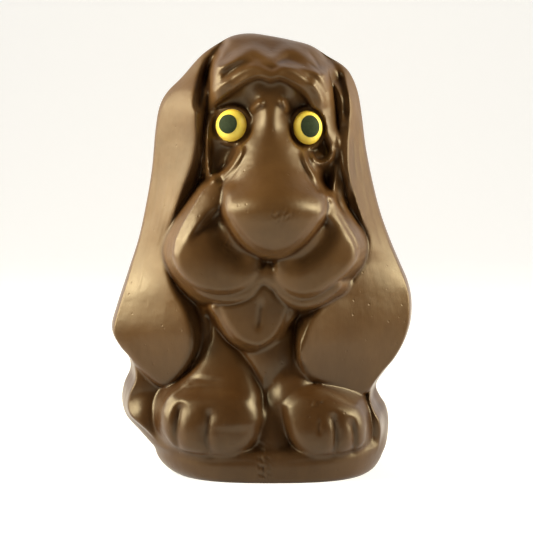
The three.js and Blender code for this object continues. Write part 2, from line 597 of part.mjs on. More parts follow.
// How far behind y = 0 the surface stands at (x, z).
function back(x, z) {
  const widest = parting(x, z);
  const inside = Math.max(depthInside(x, z, silhouette), 0);
  const round = rim(inside, by(z, [[0, 10], [100, 12], [180, 14], [200, 16]]),
    by(z, [[0, 1.6], [150, 1.5], [200, 0.9]]));
  const depth = by(z, [[0, 50], [20, 53], [40, 52], [60, 47], [80, 42.5], [100, 39.5], [120, 38],
    [140, 37], [160, 35], [180, 29], [192, 20], [200, 8]]);
  const half = by(z, [[0, 50], [30, 52], [60, 47], [90, 43], [110, 41], [150, 40], [180, 34], [200, 22]]);
  const u = Math.abs(x - 1.5) / half;
  const earLeftRise = clamp(0.45 * (x - branchAt(z, leftBranch)), 0, 14);
  const earRightRise = clamp(0.45 * (branchAt(z, rightBranch) - x), 0, 14);
  let b = depth * Math.sqrt(clamp(1 - u ** 2.3, 0, 1)) - Math.max(u - 1, 0) * 40;
  b = softMax(b, dome(polar(x, z, -31, 35, 27, 33, 12), 27, 14, 34, 1.5), 8);
  b = softMax(b, dome(polar(x, z, 34, 33, 26, 31, -12), 26, 14, 34, 1.5), 8);
  b = softMax(b, 5 + earLeftRise + edge(x, z, 'earBackLeft', 4, 4, 1.8), 2);
  b = softMax(b, 5 + earRightRise + edge(x, z, 'earBackRight', 4, 4, 1.8), 2);
  b = softMin(b, round + widest, 3) + backFolds(x, z);
  b = softMax(b, plinth(x, z, PLINTH.back - widest) + widest, 2);
  return Math.max(b, widest);
}

// ---------------------------------------------------------------- the skin of triangles

// Positions from 0 to 1 that cut a relief's mean arc length into equal shares.
// slopes(t) gives the relief's steepness at t as a list; steeper than the limit counts as the limit.
function evenCuts(count, slopes, limit) {
  const samples = 200;
  const lengths = [0];
  for (let k = 0; k < samples; k += 1) {
    const list = slopes((k + 0.5) / samples);
    const total = list.reduce((sum, slope) => sum + Math.hypot(1, Math.min(Math.abs(slope), limit)), 0);
    lengths.push(lengths[k] + total / list.length);
  }
  const cuts = [];
  let k = 1;
  for (let j = 0; j <= count; j += 1) {
    const wanted = (lengths[samples] * j) / count;
    while (k < samples && lengths[k] < wanted) k += 1;
    cuts.push((k - 1 + (wanted - lengths[k - 1]) / (lengths[k] - lengths[k - 1])) / samples);
  }
  return cuts;
}

const steepest = 2.5;
const probe = 0.25;

function rowHeights() {
  const shares = [0.08, 0.2, 0.32, 0.44, 0.56, 0.68, 0.8, 0.92];
  const slopes = (t) => shares.map((share) => {
    const z = clamp(t * crown[1], probe, crown[1] - 2 * probe);
    const left = branchAt(z, leftBranch);
    const x = left + share * (branchAt(z, rightBranch) - left);
    return (front(x, z + probe) - front(x, z - probe)) / (2 * probe);
  });
  return evenCuts(ROWS, slopes, steepest).map((cut) => cut * crown[1]);
}

function columnShares(relief, count) {
  const heights = Array.from({ length: 16 }, (_, k) => 8 + 12 * k);
  const slopes = (t) => heights.map((z) => {
    const left = branchAt(z, leftBranch);
    const width = branchAt(z, rightBranch) - left;
    const x = left + clamp(t, 0.01, 0.99) * width;
    return (relief(x + probe, z) - relief(x - probe, z)) / (2 * probe);
  });
  return evenCuts(count, slopes, steepest);
}

// Rounds every corner of a grid of depths a little, as poured chocolate does: each depth becomes
// the mean of itself, twice over, and its neighbours, first along the rows and then up the columns.
function pour(grid) {
  const mean = (list) => list.map((d, k) => (
    k === 0 || k === list.length - 1 ? d : (list[k - 1] + 2 * d + list[k + 1]) / 4
  ));
  const turned = (table) => table[0].map((_, column) => table.map((row) => row[column]));
  return turned(turned(grid.map(mean)).map(mean));
}

// Closed rings at each row, a point at the crown and one in the middle of the foot.
function dogGeometry() {
  const frontShares = columnShares(front, FRONT_COLUMNS);
  const backShares = columnShares(back, BACK_COLUMNS).slice(1, -1).reverse();
  const around = frontShares.length + backShares.length;
  const rows = rowHeights().slice(0, -1);
  const last = rows[rows.length - 1];
  rows.push(last + 0.62 * (crown[1] - last), last + 0.92 * (crown[1] - last));
  const xAt = (z, share) => branchAt(z, leftBranch) * (1 - share) + branchAt(z, rightBranch) * share;
  const frontDepths = pour(rows.map((z) => frontShares.map((share) => front(xAt(z, share), z))));
  const backDepths = pour(rows.map((z) => backShares.map((share) => back(xAt(z, share), z))));
  const positions = [];
  rows.forEach((z, row) => {
    frontShares.forEach((share, column) => {
      const x = xAt(z, share);
      const onOutline = share === 0 || share === 1;
      positions.push(x, onOutline ? parting(x, z) : -eyeSeats(x, z, frontDepths[row][column]), z);
    });
    backShares.forEach((share, column) => {
      positions.push(xAt(z, share), backDepths[row][column], z);
    });
  });
  positions.push((leftBranch[0][0] + rightBranch[0][0]) / 2, 0, 0);
  positions.push(crown[0], parting(crown[0], crown[1]), crown[1]);
  const foot = rows.length * around;
  const index = [];
  for (let row = 0; row + 1 < rows.length; row += 1) {
    for (let k = 0; k < around; k += 1) {
      const [a, b] = [row * around + k, row * around + ((k + 1) % around)];
      const [c, d] = [b + around, a + around];
      const acrossFirst = Math.abs(positions[3 * a + 1] - positions[3 * c + 1]);
      const acrossSecond = Math.abs(positions[3 * b + 1] - positions[3 * d + 1]);
      if (acrossFirst < acrossSecond) index.push(a, b, c, a, c, d);
      else index.push(a, b, d, b, c, d);
    }
  }
  for (let k = 0; k < around; k += 1) {
    const next = (k + 1) % around;
    index.push(foot, next, k);
    index.push(foot + 1, foot - around + k, foot - around + next);
  }
  const geometry = new THREE.BufferGeometry();
  geometry.setAttribute('position', new THREE.Float32BufferAttribute(positions, 3));
  geometry.setIndex(index);
  geometry.computeVertexNormals();
  return geometry;
}

// ---------------------------------------------------------------- the eyes

// Height of the eye's dome over its flat back, at a share r of its radius.
function eyeHeight(r) {
  return EYE_RISE * (1 - r ** 2.3) ** (1 / 2.1);
}

// A dome turned about its own axis, with a flat back and a rounded foot.
function eyeGeometry() {
  const profile = [new THREE.Vector2(0, 0), new THREE.Vector2(0.93, 0)];
  const steps = 9;
  for (let k = 0; k <= steps; k += 1) {
    const r = Math.cos((k / steps) * (Math.PI / 2));
    profile.push(new THREE.Vector2(k === steps ? 0 : r, k === 0 ? 0.9 : Math.max(eyeHeight(r), 0.9)));
  }
  return new THREE.LatheGeometry(profile, 24);
}

// A thin round drop of darker sugar lying on the dome's top.
function pupilGeometry(eye) {
  const radius = PUPIL_RADIUS / eye.halfWidth;
  const steps = 4;
  const profile = [];
  for (let k = 0; k <= steps; k += 1) {
    const r = (radius * k) / steps;
    profile.push(new THREE.Vector2(r, eyeHeight(r) + EYE_GAP));
  }
  for (let k = steps; k >= 0; k -= 1) {
    const r = (radius * k) / steps;
    const bulge = PUPIL_RISE * (0.55 + 0.45 * Math.sqrt(1 - (k / steps) ** 2));
    profile.push(new THREE.Vector2(r, eyeHeight(r) + EYE_GAP + bulge));
  }
  return new THREE.LatheGeometry(profile, 24);
}

// Turns a piece made about +Y so that it looks forward, to the side and up as its eye does.
function placeOnSeat(mesh, eye) {
  mesh.scale.set(eye.halfWidth, 1, eye.halfHeight);
  mesh.rotation.set(Math.PI, 0, 0);
  const look = new THREE.Group();
  look.rotation.set(-radians(eye.tilt), 0, radians(eye.turn), 'ZXY');
  const ahead = new THREE.Vector3(0, -EYE_GAP, 0).applyEuler(look.rotation);
  look.position.set(eye.x + ahead.x, -eye.depth + ahead.y, eye.z + ahead.z);
  look.add(mesh);
  return look;
}

// ---------------------------------------------------------------- materials and assembly

const chocolate = new THREE.MeshStandardMaterial({ color: 0x5c3b22, roughness: 0.28, metalness: 0 });
const yellowSugar = new THREE.MeshStandardMaterial({ color: 0xf0cd33, roughness: 0.45, metalness: 0 });
const greenSugar = new THREE.MeshStandardMaterial({ color: 0x27352a, roughness: 0.55, metalness: 0 });

function named(name, geometry, material) {
  const mesh = new THREE.Mesh(geometry, material);
  mesh.name = name;
  return mesh;
}

const figure = new THREE.Group();
const dog = named('dog', dogGeometry(), chocolate);
figure.add(dog);
for (const eye of EYES) {
  figure.add(placeOnSeat(named(`eye_${eye.name}`, eyeGeometry(), yellowSugar), eye));
  figure.add(placeOnSeat(named(`pupil_${eye.name}`, pupilGeometry(eye), greenSugar), eye));
}

// The origin is the middle of the whole figure's box, on the ground.
dog.geometry.computeBoundingBox();
const middle = dog.geometry.boundingBox.getCenter(new THREE.Vector3());
figure.position.set(-middle.x, -middle.y, 0);

export default figure;
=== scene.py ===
"""A seated, long-eared dog cast in milk chocolate, with two sugar eyes stuck on.

The figure comes out of a mould of two halves. Each half is a relief over one upright plane, (x, z):
the front one says how far forward of that plane the chocolate stands, the back one how far behind
it. A relief is worked out as whole numpy arrays from rounded forms, joined by soft maxima, with
folds drawn along short curves. Sizes are in millimetres in the sculptor's frame: x to the right,
z up, y to the back with y = 0 in the plane of the reliefs, near the middle of the dog's depth.
"""

import math

import bpy
import numpy as np
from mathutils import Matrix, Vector


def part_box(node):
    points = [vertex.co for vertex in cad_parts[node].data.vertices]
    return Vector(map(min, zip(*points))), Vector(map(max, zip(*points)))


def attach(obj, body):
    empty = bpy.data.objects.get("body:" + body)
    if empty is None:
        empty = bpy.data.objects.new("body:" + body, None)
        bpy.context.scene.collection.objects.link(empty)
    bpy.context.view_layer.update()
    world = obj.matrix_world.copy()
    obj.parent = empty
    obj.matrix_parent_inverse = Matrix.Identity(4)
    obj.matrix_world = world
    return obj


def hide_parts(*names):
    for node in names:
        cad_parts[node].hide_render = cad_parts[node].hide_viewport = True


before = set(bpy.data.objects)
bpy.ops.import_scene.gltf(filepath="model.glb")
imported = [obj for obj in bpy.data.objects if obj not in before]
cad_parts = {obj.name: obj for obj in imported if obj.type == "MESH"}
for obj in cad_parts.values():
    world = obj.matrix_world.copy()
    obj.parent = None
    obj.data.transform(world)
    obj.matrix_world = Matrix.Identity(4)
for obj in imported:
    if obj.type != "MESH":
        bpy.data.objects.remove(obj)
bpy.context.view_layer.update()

MM = 0.001

# ---------------- sizes, mm

# Widest outline, read upwards: (height, x).
OUTLINE_LEFT = [
    (0, -41), (1.5, -44), (4, -47), (7, -49), (11, -50.8), (17, -57.5), (23, -64), (29.5, -66),
    (37, -64.8), (44, -61.9), (50, -62.3), (56, -66.5), (64, -69.8), (74, -67.5), (92, -61.5),
    (106, -57), (122, -53.5), (138, -50.8), (155, -49.2), (166, -47.3), (173, -43.7), (180, -36.8),
    (190, -27.8), (196, -19),
]
CROWN = [(199, -13), (200, -5), (198.6, 5)]
OUTLINE_RIGHT = [
    (0, 50), (1.5, 52.5), (4, 54.5), (7, 56), (12, 58), (20, 59.3), (27, 58), (32, 55), (37, 53.4),
    (44, 57.3), (50, 61.9), (58, 66.2), (67, 69), (77, 69.4), (86, 67.5), (96, 63.2), (106, 59),
    (118, 54.7), (132, 51.1), (148, 47.9), (162, 46.1), (173, 44.2), (181, 41), (185.5, 37),
    (189.5, 30.3), (194.5, 22.3), (197, 13),
]

# How far behind the plane of the reliefs the mould parts, by height.
PARTING_LEFT = [(0, 4), (10, 6), (22, 14), (40, 15), (52, 7), (62, 3), (200, 3)]
PARTING_RIGHT = [(0, 4), (10, 6), (22, 9), (36, 8), (46, 4), (60, 3), (200, 3)]

# x of the line from which each ear's plane climbs, by height: the outline without its lower corners.
HINGE_LEFT = [(36, -60), (46, -63.5), (56, -66.3), (66, -67.8), (78, -66.3)]
HINGE_LEFT += [(z, x) for z, x in OUTLINE_LEFT if z > 90]
HINGE_RIGHT = [
    (32, 60), (42, 62.5), (52, 65.3), (62, 67.6), (72, 68.6), (82, 67.8), (96, 63.2), (106, 59),
    (118, 54.7), (132, 51.1), (148, 47.9), (162, 46.1), (173, 44.2), (181, 41), (189.5, 30.3),
    (197, 13),
]

# The low foot: how far it reaches, the height of its top, its round shoulder, and how square it is.
PLINTH = {"front": 49, "back": 54, "top": 13.5, "round": 7, "power": 2.7}

# Half ellipsoids: (x, z, half width, half height, turn), where they start, how far they stand out
# and, where it isn't the usual 2, how steeply they fall away outside.
BODY = ((3, 45, 56, 82), 0, 27)
HEAD = ((5, 140, 46, 70), -2, 18)
HAUNCH = ((-52, 37, 22, 24), -2, 20)
HIND_PAW = ((-52, 20, 16, 22), -2, 26)
CLEFT = ((2.7, 91, 3, 10), 34, 5, 3)
BACK_HAUNCHES = [((-31, 35, 27, 33, 12), 14, 34, 1.5), ((34, 33, 26, 31, -12), 14, 34, 1.5)]

# The sugar eyes, and their seats in units of an eye's half sizes.
EYE_RISE = 5.4
PUPIL_RADIUS = 4.15
PUPIL_RISE = 0.7
PUPIL_SUNK = 0.05
SEAT_REACH = 1.32
SEAT_BLEND = 0.24
EYES = [
    {"name": "left", "x": -13.5, "z": 158, "depth": 22, "half_width": 7.4, "half_height": 7.3,
     "turn": -20, "tilt": 9},
    {"name": "right", "x": 20.5, "z": 157, "depth": 22, "half_width": 6.7, "half_height": 7.7,
     "turn": 14, "tilt": 9},
]

# Grid of the dog's skin.
ROWS = 318
FRONT_COLUMNS = 236
BACK_COLUMNS = 72
STEEPEST = 2.5

# How often the reliefs are smoothed, and the blurred copy that tells where the hollows are, for the painted
# shade laid into them.
FRONT_PASSES = 1
BACK_PASSES = 5
HOLLOW_SHADE_PASSES = 10

# Points well outside the figure, by which an ear's outline closes, so that it reaches the edge.
BEYOND_LEFT = [(-80, 62), (-90, 90), (-80, 130), (-72, 170), (-58, 195), (-30, 215)]
BEYOND_RIGHT = [(80, 60), (90, 90), (78, 120), (70, 150), (66, 175), (54, 200), (40, 212)]

# Outlines of the raised forms, as closed curves through (x, z) points.
FORMS = {
    "ear_left": [
        (-20, 198), (-24.5, 188), (-28, 176), (-29, 163), (-28.8, 151), (-31, 140), (-35.4, 129),
        (-39.6, 117), (-43.6, 105), (-43.2, 95), (-39, 84), (-33.5, 75), (-30.5, 66), (-30.5, 57),
        (-34, 48.5), (-39.5, 42), (-45, 39.5), (-51, 42.5), (-59, 50), (-66, 57),
    ] + BEYOND_LEFT,
    "ear_right": [
        (31, 197), (34.8, 189), (37.9, 180), (39.2, 168), (38.8, 154), (38.4, 140), (41, 127), (45.4, 115),
        (48.5, 105), (45, 94), (36, 84), (26, 77), (19.5, 69), (16.8, 60), (17.4, 51), (21, 44.8),
        (28, 41.2), (36, 38), (42.5, 35.3), (47.5, 36), (52, 39.8), (62, 46),
    ] + BEYOND_RIGHT,
    "face": [
        (-17, 204), (-22.5, 186), (-24.3, 173), (-26.5, 163), (-28.3, 154), (-27.5, 143), (-25.8, 133.5),
        (-31, 124), (-37.5, 113.5), (-41, 104), (-39, 95), (-30, 86), (-10, 78), (0, 80), (10, 78),
        (30, 84), (42, 96), (46.5, 106), (43, 114.5), (39, 122), (37, 131), (36.5, 142), (35.5, 151),
        (34, 163), (32, 175), (28.5, 188), (23, 204), (0, 220),
    ],
    "nose": [
        (-17, 126.5), (-16.4, 119), (-13, 111.5), (-8, 105), (-2, 101), (5, 99.3), (12, 101),
        (19, 106.5), (24, 112.5), (28, 119.5), (28, 130), (22, 148), (4, 156), (-12, 148), (-17, 134),
    ],
    "jowl_left": [
        (-14, 134), (-21, 135), (-25.5, 131), (-30.3, 123.5), (-36.3, 113.5), (-40.3, 103.5), (-39.5, 96),
        (-35, 89.5), (-28, 85.3), (-20, 83.2), (-12, 83.5), (-5, 86.3), (-0.8, 91), (1.3, 97), (0, 104),
        (-3, 118), (-8, 128),
    ],
    "jowl_right": [
        (20, 134), (27, 132), (32, 127.5), (34.5, 122), (38.3, 115.5), (42.3, 109), (44, 103.5),
        (42.8, 97.5), (39.5, 93), (35.5, 89.7), (30, 86), (24, 82.5), (18, 81.3), (12, 83), (7, 87),
        (4.6, 92), (4.4, 98), (8, 110), (12, 122),
    ],
    "lip": [
        (-34, 90), (-30, 84.5), (-23.5, 80.3), (-15, 78.8), (-8, 79.8), (-3, 82.5), (1, 87.5), (4, 86),
        (8, 81), (13, 77.5), (19, 76.3), (25, 77.8), (31, 81.6), (36, 87), (30, 92), (0, 96), (-30, 94),
    ],
    "tongue": [
        (-19.5, 78.3), (-12, 79.5), (-6, 82), (1, 88), (7, 83), (12, 78), (11.3, 74), (9, 68),
        (5, 62.8), (0, 59.8), (-4, 59.6), (-10, 62), (-14.3, 66.5), (-17.5, 72),
    ],
    "chin": [
        (-22.5, 79), (-20.5, 71.5), (-16, 63.5), (-10.5, 58.8), (-3, 56.3), (3.5, 57.3), (8.5, 61.8),
        (12, 67.8), (15, 76), (0, 90),
    ],
    "leg_left": [
        (-32, 84), (-22.5, 80), (-20.5, 71.5), (-16, 63.5), (-12, 59.5), (-6, 52.5), (-1.8, 45), (0.3, 36),
        (0, 24), (-40, 24), (-41.5, 36), (-37, 42.5), (-31.5, 48.5), (-28.5, 56), (-28.5, 66),
    ],
    "leg_right": [
        (12, 70), (18, 66), (20, 56), (22, 46), (25, 30), (22, 16), (9, 15), (5.5, 20), (3.4, 28),
        (2.4, 38), (3.6, 48), (7.5, 58),
    ],
    "paw_left": [
        (-44, 35), (-40, 39.5), (-32, 41), (-22, 41.5), (-12, 41.5), (-4, 38.5), (0.3, 31), (0.3, 24),
        (-2, 18.5), (-6, 14.5), (-13, 12.4), (-22, 12.3), (-31, 13), (-38, 14.5), (-42.5, 18.5),
        (-45.5, 24), (-46, 30),
    ],
    "paw_right": [
        (7.6, 35), (12.5, 40.3), (18, 42.6), (24, 42.2), (31, 40), (38, 36.6), (44, 32.8), (47, 27),
        (47, 19.5), (44.5, 15), (38, 13.3), (30, 12.4), (22, 12.3), (16, 14.8), (12, 19.5), (9, 27),
        (8, 32),
    ],
    "foot_right": [(47.5, 34), (51, 38), (58, 35), (68, 25), (66, 8), (52, 4), (48, 14), (47.5, 25)],
    "ear_back_left": [
        (-20, 196), (-30, 180), (-33, 160), (-36, 140), (-39, 120), (-42, 100), (-45, 84), (-46, 70),
        (-47, 58), (-52, 49), (-60, 46), (-66, 54),
    ] + BEYOND_LEFT,
    "ear_back_right": [
        (28, 196), (32, 180), (33, 160), (35, 140), (38, 120), (43, 100), (46, 84), (46, 70), (46, 58),
        (50, 46), (56, 42), (62, 48),
    ] + BEYOND_RIGHT,
}

# Ridges (height above 0) and creases (below 0): points along the fold, half width, height, end fade.
FRONT_FOLDS = [
    # gaps between the ears and the forehead, up to the crown
    ([(-15, 199), (-19.5, 193), (-23.5, 186), (-26.5, 179), (-28, 171), (-28.6, 163)], 2.2, -5.0, 0.15),
    ([(26, 196), (30.5, 189), (34.5, 182), (36.3, 174), (37.2, 166), (37.6, 159)], 2.4, -3.6, 0.15),
    # forehead
    ([(-22.5, 177), (-17.5, 184), (-11, 188.7), (-4, 192), (4.5, 188.5), (12, 192.3), (19, 189.5),
      (25.5, 182), (29.5, 173)], 2.6, 2.3, 0.12),
    ([(-16.5, 195), (-18, 190), (-20, 186), (-21.5, 181)], 1.6, 1.0, 0.3),
    ([(-23.5, 172), (-21, 177), (-17, 181.5)], 1.8, 0.9, 0.3),
    ([(-24.5, 170), (-20, 175.2), (-13, 179.5)], 1.8, 1.2, 0.3),
    ([(21, 180), (25.5, 172.5), (28.5, 164.5)], 1.8, 2.2, 0.3),
    ([(-20.5, 175.5), (-14.5, 182), (-8.5, 185.7), (-3, 187.3), (4.5, 184.3), (10.5, 187), (16.5, 185.3),
      (22.5, 179)], 1.8, -1.3, 0.2),
    ([(-24, 167.5), (-20, 173.5), (-14, 178.8), (-8, 182.6), (-2, 184), (4.5, 181.7), (10, 183.3),
      (16, 181), (22, 176), (27, 169)], 2.0, 1.6, 0.15),
    ([(-22, 177.5), (-18, 181.7), (-12, 185.2)], 0.9, -0.4, 0.3),
    ([(20, 187), (25, 183), (28.5, 178)], 0.7, -0.8, 0.3),
    ([(21, 192), (24.5, 187), (27, 182)], 0.8, -0.8, 0.3),
    # lower brow
    ([(-25.5, 165), (-20, 170), (-13, 174.8), (-6, 179), (-1, 180.3), (4, 179), (8, 179.8), (13, 178),
      (19, 173.8), (24, 167), (28, 158.5), (32, 149.5), (34.5, 142.5)], 3.2, 2.4, 0.1),
    # inner ends of the brows
    ([(-5, 163), (-3.4, 166), (-0.5, 168.2), (2, 169)], 1.5, 3.4, 0.35),
    ([(7, 170.5), (9.3, 168.7), (10.8, 166), (11.2, 163)], 1.4, 3.2, 0.35),
    # bags under the eyes
    ([(-22.5, 163.5), (-24.2, 158), (-24.4, 150), (-24.3, 142), (-23.6, 134.5)], 1.4, 3.0, 0.12),
    ([(-27.6, 153), (-27.5, 147), (-26.8, 140), (-25.4, 134.5)], 0.8, 1.2, 0.25),
    ([(-24.5, 133.5), (-19, 135.5), (-13.5, 139.8), (-10, 145), (-8.5, 150)], 1.5, 3.0, 0.15),
    ([(-21.5, 136.5), (-18, 138.5), (-14, 142)], 1.3, -1.6, 0.3),
    ([(18, 148), (19.5, 142), (23, 136), (28, 129), (33, 123)], 1.3, 2.8, 0.15),
    ([(22, 142), (23.8, 139.3), (26, 137)], 0.7, 1.2, 0.3),
    ([(21.5, 147), (23, 143), (26, 141), (30, 142.5), (31.5, 146), (29.5, 149.5)], 1.2, 3.0, 0.2),
    ([(24, 145.5), (26.5, 144.5), (28.5, 145.5)], 0.7, 1.2, 0.3),
    ([(33.5, 143), (33, 136), (32, 130), (34, 124)], 1.3, 2.0, 0.25),
    # beside the nose and along the cheeks
    ([(-20.5, 123), (-20, 115), (-15.5, 107), (-9, 100.5), (-2, 97)], 4.4, -4.2, 0.3),
    ([(31, 119), (28.5, 110), (22, 102.5), (14, 98), (8, 96.5)], 3.8, -3.6, 0.3),
    ([(-14, 124), (-13.3, 118.5), (-10.3, 113), (-6, 107.8), (-1, 104), (5, 102.3), (11, 103.6),
      (17, 108.3), (21.5, 114), (25, 120)], 0.8, -0.9, 0.15),
    ([(-25, 132.5), (-31, 122.5), (-37, 112), (-39.5, 104)], 1.2, 1.6, 0.15),
    ([(34.5, 126), (38.5, 119.5), (42.5, 112.5), (45, 106)], 1.2, 1.8, 0.2),
    ([(33, 121.5), (36.9, 114.5), (40.8, 108), (42.5, 103), (42.2, 98)], 0.9, -1.2, 0.2),
    # inner fold of the right ear
    ([(34.4, 157), (35.2, 149), (35.8, 140), (36.2, 133)], 1.5, 2.0, 0.25),
    ([(37, 158), (37.4, 151), (37.8, 141), (38.6, 132), (40, 125)], 2.8, 3.8, 0.22),
    ([(41.2, 130), (43.6, 121.5), (47, 111)], 1.2, 1.6, 0.25),
    ([(41.2, 155), (41.6, 148), (41.9, 141), (43, 132)], 0.7, -0.8, 0.25),
    ([(43.6, 152), (44.6, 143), (46.2, 133)], 0.7, -0.6, 0.25),
    # groove of the tongue
    ([(0, 82), (-1, 74), (-1.8, 66)], 1.2, -1.4, 0.3),
    # toes
    ([(-35.5, 37), (-37.2, 29), (-38, 21), (-36.5, 10)], 2.8, -1.8, 0.2),
    ([(-35.5, 36), (-37.2, 28), (-38, 21), (-37, 12)], 0.9, -1.0, 0.25),
    ([(-22.5, 35), (-24, 26), (-24.4, 19), (-22, 10)], 2.8, -1.7, 0.2),
    ([(-22.5, 33), (-24, 25), (-24.4, 19), (-22.5, 12)], 0.9, -1.0, 0.25),
    ([(31, 33), (32.8, 24), (32.8, 17), (32, 10)], 2.4, -1.6, 0.2),
    ([(31, 31), (32.8, 23), (32.8, 17), (32, 11)], 0.9, -1.0, 0.25),
    ([(39, 30), (41, 22), (41, 17), (40, 10)], 2.0, -1.4, 0.2),
    ([(39.5, 28), (41, 22), (41, 17), (40, 11)], 0.9, -0.9, 0.25),
    # leg and chest
    ([(-46, 32), (-41.5, 37.3), (-36, 41), (-30, 43.5)], 1.0, 1.1, 0.3),
    ([(-36, 43.5), (-29, 45), (-22, 44.5), (-15, 44.8)], 1.0, -0.9, 0.3),
    ([(-30, 41.5), (-23, 42.2), (-16, 41.6)], 0.8, -0.5, 0.3),
    ([(-25, 80), (-24, 73), (-23.5, 66), (-24.5, 58)], 1.0, -1.8, 0.25),
    ([(-25, 78), (-21, 69), (-15, 60.5), (-8, 54.5), (-3.5, 48), (-0.5, 40)], 1.0, -1.2, 0.15),
    ([(15.2, 74), (14.6, 64), (15, 56), (17.2, 50), (20.5, 45.5)], 0.8, -1.6, 0.2),
    ([(17.3, 73), (16.8, 64), (17.1, 56), (19, 50)], 0.9, 1.4, 0.2),
]

# Finer marks, only on the fine skin: drag lines, the mould's seam and the creases of the cast.
FINE_FOLDS = [
    ([(-46.5, 152), (-47, 140), (-48.5, 125), (-52, 108)], 0.8, -0.22, 0.3),
    ([(-41.5, 146), (-43, 132), (-46, 118), (-50, 102)], 0.7, 0.22, 0.3),
    ([(-38.5, 137), (-41, 124), (-45, 110), (-49, 96)], 0.6, -0.2, 0.3),
    ([(-53.5, 100), (-55, 90), (-57.5, 80)], 0.8, 0.25, 0.35),
    ([(44.5, 150), (45.6, 138), (48, 124), (51.5, 112)], 0.6, 0.25, 0.3),
    ([(47.5, 132), (50, 120), (53.5, 108), (57, 97)], 0.8, -0.25, 0.3),
    ([(42.8, 178), (43.5, 168), (44.2, 158)], 0.6, -0.25, 0.3),
    ([(-9.5, 147), (-12, 141.5), (-16.5, 135.5), (-21, 131)], 0.55, 0.45, 0.3),
    ([(-7.5, 145.5), (-10.5, 139.5), (-14.5, 134)], 0.5, -0.4, 0.3),
    ([(-13, 137), (-17, 132.5), (-20.5, 129.5)], 0.5, 0.4, 0.3),
    ([(16.5, 145), (19, 138.5), (22.5, 132.5), (26.5, 127.5)], 0.55, -0.5, 0.3),
    ([(18, 139), (21, 133.5), (25, 128.5)], 0.5, 0.45, 0.3),
    ([(24.8, 129.6), (27, 128), (29.3, 126.4)], 0.8, 1.1, 0.3),
    ([(1.6, 50), (0.8, 42), (1.6, 33), (0.6, 24)], 0.5, 0.5, 0.2),
    ([(2.2, 16), (1.2, 11), (2.4, 7), (1.4, 2.5)], 0.45, 0.4, 0.2),
    ([(26, 30), (25.2, 26), (25.6, 21)], 0.8, -0.6, 0.35),
    ([(-24.6, 155), (-24.4, 148), (-24.1, 141), (-23.3, 135)], 0.6, 0.7, 0.2),
    ([(-22, 135), (-17, 137.6), (-12.8, 142), (-10.4, 147)], 0.6, 0.6, 0.25),
    ([(21.8, 146.5), (23.3, 142.8), (26, 141.2), (29.6, 142.4), (31.2, 145.8)], 0.6, 0.7, 0.25),
    ([(18.4, 147), (19.8, 141.8), (23.2, 136), (28, 129.4)], 0.6, 0.6, 0.25),
    ([(-42, 10.5), (-25, 8.8), (-8, 9.6), (3, 8.6)], 0.9, -0.25, 0.25),
    ([(8, 8.8), (24, 9.8), (42, 10.2)], 0.9, -0.25, 0.25),
]

# The rims of chocolate that rise along the lower edge of each eye.
LIDS = [
    ([(-17.5, 151.4), (-14.5, 150), (-10.5, 150.4), (-7.4, 152.6), (-5.8, 156)], 0.65, 0.9, 0.2),
    ([(13.2, 154), (15.2, 150.4), (18.6, 148.2), (22.8, 148.2), (26.2, 150.6), (27.6, 154)], 0.7, 1.1, 0.2),
]

# Rough spots: x, z, half sizes, height and seed.
ROUGH = [
    (1.5, 9, 3.5, 9, 0.4, 5), (24.8, 35.5, 3.8, 1.8, 0.4, 6), (8.4, 119.5, 4.6, 3.2, 0.24, 7),
    (-16, 105, 4.5, 4, 0.16, 8), (36, 88.5, 3, 1.8, 0.2, 9), (-21.5, 165.8, 2.4, 1.3, 0.35, 10),
]

# Steps: points along the upper edge with the low ground on the right hand, width of the step, how far
# the low ground reaches, its depth, and the fade at both ends.
BROW_STEP = ([
    (-25.5, 164), (-20, 169.5), (-13, 174.5), (-6, 179), (-1, 180.3), (4, 179), (8, 179.8), (13, 178),
    (19, 173.5), (23.5, 166.5), (27.2, 158), (31, 149.5), (33.5, 143),
], 2.2, 8.5, 4.6, 0.1)
CHEEK_STEPS = [
    ([(-35, 106.5), (-32.5, 110), (-28, 115.5), (-22, 121.5), (-15.5, 127), (-8, 133)],
     4.0, 7.0, 4.6, 0.35),
    ([(16, 132), (22, 126.5), (27, 121.5), (30.5, 117), (33.5, 112.5)], 3.5, 6.0, 4.0, 0.3),
]

# The tail, and the furrow down the back.
BACK_FOLDS = [
    ([(5, 13), (17, 16), (28, 24), (32, 35), (29, 44)], 5.0, 6.5, 0.2),
    ([(1.5, 176), (1, 140), (0.5, 100), (1, 60)], 3.0, -1.2, 0.3),
]

# Round hollows: x, z, half sizes and turn of the ellipse, depth, and how square the bell is.
BROW_HOLLOWS = [(-7.5, 164, 6.5, 9.5, 25, 5, 2.6), (14.5, 163, 6, 9.5, -30, 5, 2.6)]
BAG_HOLLOWS = [(-17.5, 145, 6, 9, -18, 3.8, 2.8), (28.3, 133.5, 3.2, 5.4, -12, 6, 2.4)]


# ---------------- plain mathematics

def soft_max(a, b, r):
    """The larger of a and b, plus h*h/(4r) where h = r - |a - b| is above 0: a corner rounded over r."""
    h = np.clip(r - np.abs(a - b), 0, None)
    return np.maximum(a, b) + h * h / (4 * r)


def soft_min(a, b, r):
    """The lower of two heights, with a joint rounded over about r: -soft_max(-a, -b)."""
    return -soft_max(-a, -b, r)


def step(t):
    """3t² - 2t³ between 0 and 1, flat outside."""
    u = np.clip(t, 0, 1)
    return u * u * (3 - 2 * u)


